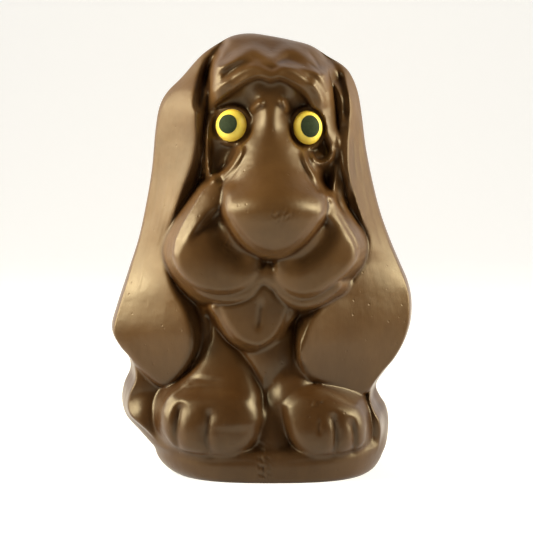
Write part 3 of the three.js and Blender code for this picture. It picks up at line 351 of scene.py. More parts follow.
def by(position, pairs):
    """A smooth curve through (position, value) pairs: cubic Hermite pieces whose tangents are the
    harmonic means of the slopes on both sides, so that it never overshoots."""
    at, value = np.array(pairs, float).T
    span = np.diff(at)
    slope = np.diff(value) / span
    turn = slope[:-1] * slope[1:] > 0
    tangent = np.concatenate([slope[:1], np.zeros(len(slope) - 1), slope[-1:]])
    tangent[1:-1][turn] = (2 * slope[:-1] * slope[1:])[turn] / (slope[:-1] + slope[1:])[turn]
    p = np.clip(position, at[0], at[-1])
    i = np.clip(np.searchsorted(at, p, side="right") - 1, 0, len(span) - 1)
    t = (p - at[i]) / span[i]
    s = 1 - t
    return ((1 + 2 * t) * s * s * value[i] + t * s * s * span[i] * tangent[i]
            + t * t * (3 - 2 * t) * value[i + 1] - t * t * s * span[i] * tangent[i + 1])


def spline(points, closed, per_span=6):
    """Points along the Catmull-Rom curve through the given points; an open one runs straight on at
    its ends."""
    p = np.array(points, float)
    if closed:
        knots = np.vstack([p[-1:], p, p[:2]])
    else:
        knots = np.vstack([2 * p[:1] - p[1:2], p, 2 * p[-1:] - p[-2:-1]])
    t = (np.arange(per_span) / per_span)[None, :, None]
    p0, p1, p2, p3 = (knots[k:len(knots) - 3 + k, None] for k in range(4))
    a = (p2 - p0) / 2
    b = (p3 - p1) / 2
    curve = (2 * p1 - 2 * p2 + a + b) * t**3 + (3 * p2 - 3 * p1 - 2 * a - b) * t**2 + a * t + p1
    return np.vstack([curve.reshape(-1, 2), p[:1] if closed else p[-1:]])


def nearest(x, z, curve, reach):
    """Distance to a curve, at most reach, the share of its length where the nearest point lies, and
    the side (above 0 on the right hand): the least over the curve's segments of the distance to the
    foot of the perpendicular, the side from the sign of the cross product there."""
    distance = np.full(x.shape, float(reach))
    share = np.zeros(x.shape)
    side = np.zeros(x.shape)
    low, high = curve.min(0) - reach, curve.max(0) + reach
    near = (x > low[0]) & (x < high[0]) & (z > low[1]) & (z < high[1])
    px, pz = x[near], z[near]
    best = np.full(px.shape, float(reach * reach))
    where = np.zeros(px.shape)
    right = np.zeros(px.shape)
    step_x, step_z = np.diff(curve, axis=0).T
    lengths = np.hypot(step_x, step_z)
    walked = np.concatenate([[0], np.cumsum(lengths)])
    for (ax, az), dx, dz, length, start in zip(curve, step_x, step_z, lengths, walked):
        if length == 0:
            continue
        ux, uz = dx / length, dz / length
        along = np.clip((px - ax) * ux + (pz - az) * uz, 0, length)
        square = (px - ax - along * ux) ** 2 + (pz - az - along * uz) ** 2
        closer = square < best
        best = np.where(closer, square, best)
        where = np.where(closer, start + along, where)
        right = np.where(closer, np.sign((px - ax) * uz - (pz - az) * ux), right)
    distance[near] = np.sqrt(best)
    share[near] = where / walked[-1]
    side[near] = right
    return distance, share, side


def depth_inside(x, z, curve, reach):
    """Distance to a closed curve, above 0 inside it and below 0 outside, at most reach either way."""
    inside = np.zeros(x.shape, bool)
    for (ax, az), (bx, bz) in zip(curve[:-1], curve[1:]):
        if az != bz:
            crossed = ((az > z) != (bz > z)) & (x < ax + (z - az) * (bx - ax) / (bz - az))
            inside ^= crossed
    distance, _, _ = nearest(x, z, curve, reach)
    return np.where(inside, distance, -distance)


# ---------------- shapes of a relief

curves = {name: spline(points, True) for name, points in FORMS.items()}
FAR_OUTSIDE = 18


def edge(x, z, name, width, drop, wall):
    """A form's edge: 0 well inside its outline, a quarter ellipse down to -drop at the outline over
    the given width, and a wall of that steepness outside it."""
    inside = depth_inside(x, z, curves[name], FAR_OUTSIDE)
    u = np.clip(1 - inside / width, 0, 1)
    return -drop * (1 - np.sqrt(1 - u * u)) + np.minimum(inside, 0) * wall


def polar(x, z, cx, cz, half_x, half_z, turn=0):
    """Distance from a centre in units of the half sizes of a turned ellipse."""
    c, s = math.cos(math.radians(turn)), math.sin(math.radians(turn))
    return np.hypot(((x - cx) * c + (z - cz) * s) / half_x, ((z - cz) * c - (x - cx) * s) / half_z)


def from_eye(x, z, eye):
    """Distance from an eye's middle in units of its half sizes."""
    return polar(x, z, eye["x"], eye["z"], eye["half_width"], eye["half_height"])


def dome(x, z, ellipse, seat, height, fall=2.0):
    """seat + height·√(1 - r²) inside the ellipse, where r is below 1, and a steep fall outside it."""
    r = polar(x, z, *ellipse)
    top = seat + height * np.sqrt(np.clip(1 - r * r, 0, 1))
    return np.where(r < 1, top, seat - fall * (r - 1) * ellipse[2])


def hollows(x, z, listed):
    """The sum of round hollows: depth·exp(-rᵖ)."""
    total = np.zeros(x.shape)
    for *ellipse, depth, power in listed:
        total += depth * np.exp(-polar(x, z, *ellipse) ** power)
    return total


def folds(x, z, listed):
    """The sum of folds: height·exp(-(distance / width)²), fading at each fold's ends."""
    total = np.zeros(x.shape)
    for path, width, height, fade in listed:
        distance, share, _ = nearest(x, z, spline(path, False), 3 * width)
        bell = np.exp(-(distance / width) ** 2) * (distance < 3 * width)
        total += height * bell * step(np.minimum(share, 1 - share) / fade)
    return total


def grain(x, z, cx, cz, half_x, half_z, height, seed):
    """A rough spot: seven sine waves of random directions and lengths, squared up and faded from
    its middle."""
    chance = np.random.default_rng(seed)
    waves = np.zeros(x.shape)
    turns, lengths, phases = (chance.uniform(*span, 7) for span in ((0, np.pi), (1.1, 3.2), (0, 6.28)))
    for turn, length, phase in zip(turns, lengths, phases):
        waves += np.sin((x * math.cos(turn) + z * math.sin(turn)) * 2 * np.pi / length + phase)
    return height * np.tanh(waves / 1.5) * np.exp(-polar(x, z, cx, cz, half_x, half_z) ** 3)


def fine_marks(x, z):
    """What the cast shows beyond its form, kept off the eyes."""
    total = folds(x, z, FINE_FOLDS + LIDS)
    for spot in ROUGH:
        total += grain(x, z, *spot)
    for eye in EYES:
        total *= step((from_eye(x, z, eye) - 1.03) / 0.05)
    return total


def ledge(x, z, path, width, reach, drop, fade):
    """A step down to the right hand of a path: -drop times a smooth step over the width, fading with
    exp(-(distance / reach)²) and at the path's ends."""
    distance, share, side = nearest(x, z, spline(path, False), 2.6 * reach)
    low = distance * side
    fall = step(low / width) * np.exp(-(low / reach) ** 2) * (distance < 2.6 * reach)
    return -drop * fall * step(np.minimum(share, 1 - share) / fade)


def rim(distance, radius, slope):
    """√(2·radius·d + (slope·d)²) + 0.03·d²: a round edge at the outline that turns into a slope."""
    return np.sqrt(2 * radius * distance + (slope * distance) ** 2) + 0.03 * distance ** 2


# ---------------- the widest outline

def flipped(pairs):
    """(height, x) pairs as (x, z) points."""
    return [(x, z) for z, x in pairs]


outline = spline(flipped(OUTLINE_LEFT) + flipped(CROWN) + flipped(OUTLINE_RIGHT)[::-1], False)
crown_index = int(outline[:, 1].argmax())
left_branch = outline[:crown_index + 1]
right_branch = outline[crown_index:][::-1]
crown = outline[crown_index]
BELOW_GROUND = -80
silhouette = np.vstack([[(-47, BELOW_GROUND)], outline, [(55, BELOW_GROUND), (-47, BELOW_GROUND)]])


def sides(z):
    """The outline's x on the left and on the right at a height, straight between its points."""
    return tuple(np.interp(z, branch[:, 1], branch[:, 0]) for branch in (left_branch, right_branch))


def parting(x, z):
    """y of the widest outline, with a smooth change from the left side to the right."""
    right = 1 / (1 + np.exp(-x / 12))
    return by(z, PARTING_LEFT) * (1 - right) + by(z, PARTING_RIGHT) * right


def plinth(x, z, reach):
    """The low foot: a superellipse in plan, reach·(1 - uᵖ)^(1/p), with a soft shoulder and a rounded
    lower edge."""
    left, right = sides(z)
    u = np.clip(np.abs(2 * x - left - right) / (right - left), 0, 1)
    top = np.clip((z - PLINTH["top"] + PLINTH["round"]) / PLINTH["round"], 0, 1)
    low = np.clip(1 - z / 1.5, 0, 1)
    shoulder = (3.2 - 2 * u * u) * (1 - np.sqrt(1 - top * top))
    bottom = 0.8 * (1 - np.sqrt(1 - low * low))
    above = np.clip(z - PLINTH["top"], 0, None) * (3 - 2.4 * u * u)
    return reach * (1 - u ** PLINTH["power"]) ** (1 / PLINTH["power"]) - shoulder - bottom - above


# ---------------- the front relief

def trunk(x, z):
    """Body, head and haunch as half ellipsoids, chest and the web between the paws as paraboloids,
    and the hind foot that shows on the right."""
    d = soft_max(dome(x, z, *BODY), dome(x, z, *HEAD), 6)
    chest = 35.5 - 7 * ((x - 4) / 14) ** 2 - 9 * ((z - 52) / 26) ** 2
    web = 46 - 5 * ((x - 3.5) / 9) ** 2 - 9 * ((z - 8) / 26) ** 2
    d = soft_max(d, chest, 5)
    d = soft_max(d, web, 4)
    d = soft_max(d, dome(x, z, *HAUNCH), 4)
    d = soft_max(d, dome(x, z, *HIND_PAW), 4)
    foot = 27 - 5 * ((z - 22) / 16) ** 2 - 5 * ((x - 50) / 10) ** 2
    return soft_max(d, foot + edge(x, z, "foot_right", 4, 5, 3), 2)


def face(x, z):
    """A shallow barrel, deepest along its middle line, within the face's outline."""
    middle = by(z, [
        (78, 26), (90, 31), (100, 34), (110, 34.5), (120, 33), (130, 30.5), (140, 28), (150, 26.5),
        (160, 26.5), (170, 28), (176, 29), (183, 28), (190, 24.5), (196, 20), (204, 14),
    ])
    fall = by(z, [(100, 5.5), (150, 6), (168, 11), (184, 12), (200, 8)])
    drop = by(z, [(120, 8), (136, 5), (164, 5), (178, 8)])
    return middle - fall * ((x - 4) / 30) ** 2 + edge(x, z, "face", 6, drop, 1.6)


def ear_left(x, z):
    """A plane that climbs from the outer edge to the inner one."""
    slope = by(z, [(40, 0.42), (60, 0.5), (80, 0.64), (100, 1.08), (120, 1.38), (150, 1.2),
                   (170, 1.4), (188, 0.9), (200, 0.3)])
    rise = np.minimum((x - by(z, HINGE_LEFT)) * slope, 27)
    outer = by(z, [(40, 16.5), (60, 14.5), (80, 9), (100, 2.5), (120, 1), (200, 1)])
    return outer + rise + edge(x, z, "ear_left", 3.5, 3, 2.6)


def ear_right(x, z):
    """The same on the other side, with a steeper strip beside the face."""
    slope = by(z, [(35, 0.5), (60, 0.55), (80, 0.58), (95, 0.84), (105, 1.33), (120, 1.95),
                   (150, 2.1), (170, 3.0), (185, 1.6), (198, 0.5)])
    rise = np.minimum((by(z, HINGE_RIGHT) - x) * slope, 27)
    outer = by(z, [(35, 15), (60, 13.5), (80, 10), (100, 4.5), (120, 2), (200, 1.5)])
    return outer + rise + edge(x, z, "ear_right", 3, 2.5, 2.6)


def bridge(x, z):
    """The bridge of the nose: depth(z) - drop(z)·u^2.3 across its half width, steeper outside it."""
    depth = by(z, [
        (98, 22), (106, 40), (114, 50.5), (120, 53.5), (128, 51.5), (134, 47.5), (142, 41.5), (150, 36.5),
        (158, 33), (166, 30), (174, 26.5), (182, 22),
    ])
    half = by(z, [
        (112, 22), (126, 22), (134, 21), (142, 19), (150, 16.5), (158, 14), (166, 11.5), (174, 9.5),
        (182, 8),
    ])
    middle = by(z, [(126, 5.2), (150, 4), (174, 3.5)])
    drop = by(z, [(130, 17), (150, 13), (166, 9), (182, 6)])
    u = np.abs(x - middle) / half
    section = np.where(u < 1, u ** 2.3, 1 + 2.3 * (u - 1) + 4 * (u - 1) ** 2)
    return depth - drop * section - np.clip(z - 174, 0, None) * 2


def muzzle(x, z, ground):
    """Jowls that run up into the cheeks, chin, lip, tongue and nose, each a curved pad over what is
    there."""
    belly = by(z, [
        (78, 42), (86, 45), (97, 46), (106, 45), (114, 42.5), (122, 39), (130, 34.5), (138, 29),
    ])
    width_left, width_right = by(z, [(96, 3.8), (114, 8)]), by(z, [(96, 3.8), (114, 6)])
    jowl_left = belly - 7 * ((x + 21) / 22) ** 2 + edge(x, z, "jowl_left", width_left, 7, 3)
    jowl_right = belly - 7 * ((x - 23) / 22) ** 2 + edge(x, z, "jowl_right", width_right, 7, 3)
    tongue = 39.5 - 3 * ((x + 3) / 16) ** 2 + edge(x, z, "tongue", 2.5, 2.2, 2.6)
    nose_half = by(z, [(99, 22), (118, 22), (126, 19), (134, 14), (142, 11)])
    profile = by(z, [
        (98, 46.5), (102, 50.8), (106, 54.2), (110, 56.8), (114, 58.6), (118, 59.6), (121, 59.8),
        (124, 59.2), (127, 57.6), (130, 55), (134, 50.5), (140, 42), (148, 28), (156, 10),
    ])
    nose = profile - 9 * ((x - 5) / nose_half) ** 2 + edge(x, z, "nose", 4, 6, 3.5)
    d = soft_max(ground, jowl_left, 2.5)
    d = soft_max(d, jowl_right, 2.5)
    d = soft_max(d, dome(x, z, *CLEFT), 2)
    d = soft_max(d, 35.5 + edge(x, z, "chin", 3, 5, 2.6), 1)
    d = soft_max(d, 40.5 + edge(x, z, "lip", 3.5, 4, 3), 3)
    d = soft_max(d, tongue, 0.5)
    for cheek in CHEEK_STEPS:
        d = d + ledge(x, z, *cheek)
    return soft_max(d, nose, 4)


def legs(x, z, ground):
    """Forelegs that run down into the paws."""
    low = 8 * (np.abs(z - 20) / 21) ** 2.2
    shin = by(z, [(26, 48.5), (36, 45.5), (44, 39.5), (52, 33), (60, 28.5), (72, 25)])
    across = np.where(x > -13, 5.5 * ((x + 13) / 13) ** 2, 4 * ((x + 13) / 17) ** 2)
    leg_left = shin - across + edge(x, z, "leg_left", 5, 6, 2.6)
    lower = by(z, [(14, 38), (24, 41), (34, 41.5), (42, 38.5), (50, 32.5), (60, 25.5), (72, 21)])
    leg_right = lower - 2.5 * ((x - 16) / 10) ** 2 + edge(x, z, "leg_right", 7, 5, 2.4)
    drop = by(z, [(14, 4.5), (27, 9)])
    paw_left = 50.5 - 9 * ((x + 19) / 27) ** 2 - low + edge(x, z, "paw_left", 6, drop, 2.8)
    paw_right = 50.5 - 9 * ((x - 26) / 23) ** 2 - low + edge(x, z, "paw_right", 6, drop, 2.8)
    d = soft_max(ground, leg_left, 3)
    d = soft_max(d, leg_right, 4)
    d = soft_max(d, paw_left, 5)
    return soft_max(d, paw_right, 2)


def eye_seats(x, z, ground):
    """A flat, tilted seat under each eye, blended into the face around it."""
    d = ground
    for eye in EYES:
        turn, tilt = math.radians(eye["turn"]), math.radians(eye["tilt"])
        lean = math.tan(tilt) / math.cos(turn)
        plane = eye["depth"] - (x - eye["x"]) * math.tan(turn) - (z - eye["z"]) * lean
        share = step((SEAT_REACH - from_eye(x, z, eye)) / SEAT_BLEND)
        d = d * (1 - share) + plane * share
    return d


def front(x, z):
    """How far forward of y = 0 the surface stands at (x, z)."""
    widest = parting(x, z)
    inside = np.clip(depth_inside(x, z, silhouette, 60), 0, None)
    radius = by(z, [(0, 6), (20, 3.5), (50, 3), (62, 1.6), (100, 1), (160, 1), (180, 6), (200, 16)])
    slope = by(z, [
        (0, 2.8), (12, 6), (45, 7), (62, 9), (100, 8), (150, 6), (172, 3.5), (185, 1.6), (200, 0.9),
    ])
    d = soft_max(trunk(x, z), face(x, z), 4)
    d = soft_max(d, ear_left(x, z), 1.5)
    d = soft_max(d, ear_right(x, z), 1.5)
    d = soft_min(d, rim(inside, radius, slope) - widest, 1.6)
    d = soft_max(d, bridge(x, z), 3)
    d = d - hollows(x, z, BROW_HOLLOWS)
    d = d + ledge(x, z, *BROW_STEP)
    d = muzzle(x, z, d)
    d = legs(x, z, d)
    d = soft_max(d, plinth(x, z, PLINTH["front"] + widest) - widest, 5)
    d = d + folds(x, z, FRONT_FOLDS) - hollows(x, z, BAG_HOLLOWS)
    return np.maximum(eye_seats(x, z, d), -widest)


# ---------------- the back relief

def back(x, z):
    """How far behind y = 0 the surface stands at (x, z): a column with haunches, ear backs and tail."""
    widest = parting(x, z)
    inside = np.clip(depth_inside(x, z, silhouette, 60), 0, None)
    radius = by(z, [(0, 10), (100, 12), (180, 14), (200, 16)])
    slope = by(z, [(0, 1.6), (150, 1.5), (200, 0.9)])
    depth = by(z, [(0, 50), (20, 53), (40, 52), (60, 47), (80, 42.5), (100, 39.5), (120, 38),
                   (140, 37), (160, 35), (180, 29), (192, 20), (200, 8)])
    half = by(z, [(0, 50), (30, 52), (60, 47), (90, 43), (110, 41), (150, 40), (180, 34), (200, 22)])
    u = np.abs(x - 1.5) / half
    left, right = sides(z)
    ear_left_rise = np.clip(0.45 * (x - left), 0, 14)
    ear_right_rise = np.clip(0.45 * (right - x), 0, 14)
    b = depth * np.sqrt(np.clip(1 - u ** 2.3, 0, 1)) - np.clip(u - 1, 0, None) * 40
    for haunch in BACK_HAUNCHES:
        b = soft_max(b, dome(x, z, *haunch), 8)
    b = soft_max(b, 5 + ear_left_rise + edge(x, z, "ear_back_left", 4, 4, 1.8), 2)
    b = soft_max(b, 5 + ear_right_rise + edge(x, z, "ear_back_right", 4, 4, 1.8), 2)
    b = soft_min(b, rim(inside, radius, slope) + widest, 3) + folds(x, z, BACK_FOLDS)
    b = soft_max(b, plinth(x, z, PLINTH["back"] - widest) + widest, 2)
    return np.maximum(b, widest)


# ---------------- meshes

def mesh_object(name, points, faces, body="root"):
    """A smooth-shaded mesh at the origin from points in metres and lists of corner numbers."""
    mesh = bpy.data.meshes.new(name)
    mesh.from_pydata(points.tolist(), [], faces)
    mesh.polygons.foreach_set("use_smooth", np.ones(len(mesh.polygons), bool))
    mesh.update()
    piece = bpy.data.objects.new(name, mesh)
    bpy.context.scene.collection.objects.link(piece)
    if body:
        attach(piece, body)
    return piece


def attribute(piece, name, values):
    """One number for each point, for the materials to read."""
    layer = piece.data.attributes.new(name, "FLOAT", "POINT")
    layer.data.foreach_set("value", np.asarray(values, np.float32))


def closed_faces(rows, around):
    """Quads between neighbouring rings, each ring closed on itself, and a fan at each end: from the
    first ring to the point that follows the rings, and from the last ring to the point after it."""
    k = np.arange(around)
    turn = (k + 1) % around
    n = rows * around
    ring = np.stack([k, turn, turn + around, k + around], axis=1)
    quads = (ring[None] + around * np.arange(rows - 1)[:, None, None]).reshape(-1, 4)
    first = np.stack([np.full(around, n), turn, k], axis=1)
    last = np.stack([np.full(around, n + 1), n - around + k, n - around + turn], axis=1)
    return quads.tolist() + first.tolist() + last.tolist()


def even_cuts(count, steepness, limit):
    """Positions from 0 to 1 that cut the mean arc length into equal shares. steepness holds the
    relief's slope at even steps down its columns; steeper than the limit counts as the limit."""
    lengths = np.hypot(1, np.minimum(np.abs(steepness), limit)).mean(axis=1)
    walked = np.concatenate([[0], np.cumsum(lengths)])
    return np.interp(np.linspace(0, walked[-1], count + 1), walked, np.linspace(0, 1, len(walked)))


def row_heights():
    """Heights of the rings, closer together where the front relief has shelves."""
    heights = np.linspace(0.5, crown[1] - 1, 400)
    shares = np.linspace(0.06, 0.94, 23)
    left, right = sides(heights)
    x = left[:, None] + shares * (right - left)[:, None]
    depth = front(x, np.repeat(heights[:, None], len(shares), axis=1))
    steepness = np.gradient(depth, heights, axis=0)
    rows = even_cuts(ROWS, steepness, STEEPEST)[:-1] * crown[1]
    gap = crown[1] - rows[-1]
    return np.concatenate([rows, rows[-1] + gap * np.array([0.45, 0.75, 0.93])])


def column_shares(relief, count):
    """Shares of the width where the columns stand, closer together where the relief is steep."""
    heights = np.linspace(6, crown[1] - 8, 60)
    shares = np.linspace(0.004, 0.996, 300)
    left, right = sides(heights)
    x = left + shares[:, None] * (right - left)
    depth = relief(x, np.repeat(heights[None], len(shares), axis=0))
    steepness = np.gradient(depth, axis=0) / np.gradient(x, axis=0)
    return even_cuts(count, steepness, STEEPEST)


def blurred(depth, passes):
    """A grid smoothed by repeated 1-2-1 means along both of its directions."""
    d = depth.copy()
    for _ in range(passes):
        d[1:-1] = (d[:-2] + 2 * d[1:-1] + d[2:]) / 4
        d[:, 1:-1] = (d[:, :-2] + 2 * d[:, 1:-1] + d[:, 2:]) / 4
    return d


def dog():
    """The dog's skin: rings of constant height, front columns from left to right and back columns
    from right to left, closed by a point at the crown and one in the middle of the foot."""
    heights = row_heights()
    front_shares = column_shares(front, FRONT_COLUMNS)
    back_shares = column_shares(back, BACK_COLUMNS)[-2:0:-1]
    left, right = sides(heights[:, None])
    fx = left + (right - left) * front_shares
    bx = left + (right - left) * back_shares
    fz = np.repeat(heights[:, None], fx.shape[1], axis=1)
    bz = np.repeat(heights[:, None], bx.shape[1], axis=1)
    f = blurred(front(fx, fz), FRONT_PASSES)
    b = blurred(back(bx, bz), BACK_PASSES)
    fy = -eye_seats(fx, fz, f) - fine_marks(fx, fz)
    fy[:, [0, -1]] = parting(fx, fz)[:, [0, -1]]
    x = np.hstack([fx, bx])
    y = np.hstack([fy, b])
    z = np.hstack([fz, bz])
    rows, around = x.shape
    points = np.stack([x, y, z], axis=-1).reshape(-1, 3)
    foot = ((left_branch[0, 0] + right_branch[0, 0]) / 2, 0, 0)
    top = (crown[0], parting(crown[0], crown[1]), crown[1])
    points = np.vstack([points, [foot, top]])
    # Painted shade mask: how far the front lies below its blurred copy at each point, 0 on the back.
    hollow_shade = np.hstack([blurred(-fy, HOLLOW_SHADE_PASSES) + fy, np.zeros(bx.shape)]).ravel()
    return points, closed_faces(rows, around), np.append(hollow_shade, [0, 0])


def satin(x, z):
    """1 on the ears above their lobes, where the chocolate is dull with bloom, 0.6 on the foot, 0
    elsewhere."""
    left = depth_inside(x, z, curves["ear_left"], 6)
    right = depth_inside(x, z, curves["ear_right"], 6)
    on_ears = step(np.maximum(left, right) / 3 + 0.5) * step((z - 80) / 36)
    return np.maximum(on_ears, 0.6 * step((20 - z) / 8))


skin, skin_faces, hollow_shade = dog()
low, high = skin.min(axis=0), skin.max(axis=0)
cad_low, cad_high = (np.array(corner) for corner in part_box("dog"))
middle = (low + high) / 2
middle[2] = 0


def in_frame(points):
    """From the sculptor's millimetres to the row's metres."""
    return (np.asarray(points, float) - middle) * MM


def fitted(points):
    """The same, pulled in by the hair that keeps the fine skin inside the coarse one's box."""
    placed = in_frame(points)
    share = np.minimum((cad_high - cad_low) / ((high - low) * MM), 1)
    return placed * share


# ---------------- the eyes

AROUND_DROP = 96
DROP_WOBBLE = 0.006


def eye_height(r):
    """Height of the dome over its seat, at a share r of its radius: rise·(1 - r^2.3)^(1/2.1)."""
    return EYE_RISE * (1 - r ** 2.3) ** (1 / 2.1)


def revolved(radii, heights, around, wobble, seed):
    """A profile turned about the eye's axis: (r·cos t, height, r·sin t), with a slow wobble of the
    radius that a hand-piped drop has."""
    t = np.linspace(0, 2 * np.pi, around, endpoint=False)
    phase = np.random.default_rng(seed).uniform(0, 2 * np.pi, 3)
    waves = np.sin(2 * t + phase[0]) + 0.6 * np.sin(3 * t + phase[1]) + 0.4 * np.sin(5 * t + phase[2])
    uneven = 1 + wobble * waves
    r = np.asarray(radii)[:, None] * uneven
    h = np.repeat(np.asarray(heights)[:, None], around, axis=1)
    return np.stack([r * np.cos(t), h, r * np.sin(t)], axis=-1)


def on_seat(local, eye):
    """Turns points made about +Y so that they look forward, to the side and up as the eye does.
    The first two local numbers are in units of the eye's half sizes, the height is in mm."""
    turn, tilt = math.radians(eye["turn"]), math.radians(eye["tilt"])
    x = local[..., 0] * eye["half_width"]
    y = -local[..., 1]
    z = local[..., 2] * eye["half_height"]
    y, z = y * math.cos(tilt) + z * math.sin(tilt), z * math.cos(tilt) - y * math.sin(tilt)
    x, y = x * math.cos(turn) - y * math.sin(turn), x * math.sin(turn) + y * math.cos(turn)
    return np.stack([x + eye["x"], y - eye["depth"], z + eye["z"]], axis=-1)


def closed_drop(name, radii, heights, eye, seed, top):
    """A revolved drop closed by a point at each end of its profile."""
    rings = on_seat(revolved(radii, heights, AROUND_DROP, DROP_WOBBLE, seed), eye)
    ends = on_seat(np.array([[0, heights[0], 0], [0, top, 0]]), eye)
    points = np.vstack([rings.reshape(-1, 3), ends])
    return mesh_object(name, in_frame(points), closed_faces(len(radii), AROUND_DROP))


def eye_dome(eye):
    """The yellow drop: a flat back on the seat, a rounded foot and a dome."""
    t = np.linspace(0, np.pi / 2, 26)[:-1]
    foot = np.linspace(0, np.pi / 2, 7)[:-1]
    radii = np.concatenate([[0.5, 0.9], 0.93 + 0.07 * np.sin(foot), np.cos(t)])
    heights = np.concatenate([[0, 0], 0.9 * (1 - np.cos(foot)), np.maximum(eye_height(np.cos(t)), 0.9)])
    piece = closed_drop(f"eye_{eye['name']}_dome", radii, heights, eye, 3 + len(eye["name"]), EYE_RISE)
    shade = np.repeat(np.clip(1 - heights / (0.75 * EYE_RISE), 0, 1), AROUND_DROP)
    attribute(piece, "foot", np.append(shade, [1, 0]))
    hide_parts(f"eye_{eye['name']}")
    return piece


def eye_pupil(eye):
    """The dark drop on top: its underside follows the dome, its top bulges a little."""
    radius = PUPIL_RADIUS / eye["half_width"]
    under = np.linspace(0.15, 1, 8) * radius
    side = np.linspace(0, np.pi / 2, 6)[1:]
    over = np.linspace(1, 0, 14)[1:-1] * radius
    bulge = PUPIL_RISE * (0.62 + 0.38 * np.sqrt(1 - (over / radius) ** 2))
    radii = np.concatenate([under, radius + 0.03 * np.sin(2 * side), over])
    wall = eye_height(radius) - PUPIL_SUNK + 0.62 * PUPIL_RISE * np.sin(side)
    heights = np.concatenate([eye_height(under) - PUPIL_SUNK, wall, eye_height(over) + bulge])
    piece = closed_drop(f"eye_{eye['name']}_pupil", radii, heights, eye, 11 + len(eye["name"]),
                        EYE_RISE + PUPIL_RISE)
    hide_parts(f"pupil_{eye['name']}")
    return piece


# ---------------- materials

class Finish:
    """A material whose nodes are added one by one."""

    def __init__(self, name):
        self.material = bpy.data.materials.new(name)
        self.material.use_nodes = True
        self.tree = self.material.node_tree
        self.shader = self.tree.nodes["Principled BSDF"]
        self.place = self.tree.nodes.new("ShaderNodeTexCoord").outputs["Object"]

    def node(self, kind, **settings):
        made = self.tree.nodes.new(kind)
        for key, value in settings.items():
            if hasattr(made, key):
                setattr(made, key, value)
            else:
                self.feed(made.inputs[key.replace("_", " ").title()], value)
        return made

    def set(self, name, value):
        self.feed(self.shader.inputs[name], value)

    def feed(self, socket, value):
        if isinstance(value, bpy.types.NodeSocket):
            self.tree.links.new(value, socket)
        else:
            socket.default_value = value

    def noise(self, scale, detail=3.0, roughness=0.55, distortion=0.0, vector=None):
        made = self.node("ShaderNodeTexNoise", scale=scale, detail=detail, roughness=roughness,
                         distortion=distortion)
        self.feed(made.inputs["Vector"], vector or self.place)
        return made.outputs["Fac"]

    def spread(self, value, low, high, to_low=0.0, to_high=1.0, curve="LINEAR"):
        made = self.node("ShaderNodeMapRange", clamp=True, interpolation_type=curve)
        for key, number in (("Value", value), ("From Min", low), ("From Max", high),
                            ("To Min", to_low), ("To Max", to_high)):
            self.feed(made.inputs[key], number)
        return made.outputs["Result"]

    def math(self, operation, a, b):
        made = self.node("ShaderNodeMath", operation=operation)
        self.feed(made.inputs[0], a)
        self.feed(made.inputs[1], b)
        return made.outputs[0]

    def mix(self, share, a, b):
        made = self.node("ShaderNodeMix", data_type="RGBA")
        self.feed(made.inputs[0], share)
        self.feed(made.inputs[6], a)
        self.feed(made.inputs[7], b)
        return made.outputs[2]

    def read(self, name):
        return self.node("ShaderNodeAttribute", attribute_name=name).outputs["Fac"]

    def drawn_out(self, share):
        """Places for a pattern that is drawn out upwards."""
        made = self.node("ShaderNodeMapping")
        self.feed(made.inputs["Vector"], self.place)
        made.inputs["Scale"].default_value = (1.0, 1.0, share)
        return made.outputs["Vector"]

    def bump(self, height, distance, strength, normal=None):
        made = self.node("ShaderNodeBump")
        self.feed(made.inputs["Height"], height)
        made.inputs["Distance"].default_value = distance
        made.inputs["Strength"].default_value = strength
        if normal is not None:
            self.feed(made.inputs["Normal"], normal)
        return made.outputs["Normal"]


CHOCOLATE = (0.063, 0.0292, 0.0089, 1)
CHOCOLATE_PALE = (0.095, 0.0485, 0.0175, 1)
# The colour of the painted shade, laid into the hollows and over the lower part.
CHOCOLATE_SHADED = (0.034, 0.0132, 0.0030, 1)
YELLOW = (0.93, 0.74, 0.11, 1)
ORANGE = (0.84, 0.50, 0.035, 1)
GREEN = (0.026, 0.040, 0.022, 1)


def chocolate():
    """Milk chocolate from a polished mould: slow changes of tone, painted shade that darkens the colour in
    the hollows and towards the bottom, a faint streaky bloom, fine drag lines and a few pin bubbles."""
    f = Finish("milk chocolate")
    tone = f.noise(34, 4, 0.6)
    color = f.mix(f.spread(tone, 0.35, 0.68), CHOCOLATE, CHOCOLATE_PALE)
    # Painted shade: the colour darkens towards the bottom, where less light falls.
    color = f.mix(f.read("low"), color, CHOCOLATE_SHADED)
    # Painted shade: the colour darkens in the creases and hollows.
    color = f.mix(f.spread(f.read("hollow_shade"), 0.05, 0.9), color, CHOCOLATE_SHADED)
    streak = f.noise(120, 3, 0.6, 0.4, f.drawn_out(0.22))
    color = f.mix(f.spread(streak, 0.5, 0.75, 0.0, 0.22), color, CHOCOLATE_PALE)
    f.set("Base Color", color)
    bloom = f.math("MULTIPLY", f.read("satin"), 0.14)
    rough = f.math("ADD", f.spread(f.noise(60, 4, 0.6), 0.3, 0.7, 0.28, 0.4), bloom)
    f.set("Roughness", rough)
    f.set("Specular IOR Level", 0.4)
    f.set("Specular Tint", (1.0, 0.93, 0.76, 1))
    lines = f.noise(900, 2, 0.5, 0.6, f.drawn_out(0.12))
    cells = f.node("ShaderNodeTexVoronoi", scale=170.0)
    f.feed(cells.inputs["Vector"], f.place)
    bubbles = f.spread(cells.outputs["Distance"], 0.05, 0.11)
    waves = f.noise(95, 2, 0.5)
    normal = f.bump(waves, 0.0006, 0.55)
    normal = f.bump(lines, 0.00005, 0.5, normal)
    normal = f.bump(bubbles, 0.00015, 0.5, normal)
    f.set("Normal", normal)
    return f.material


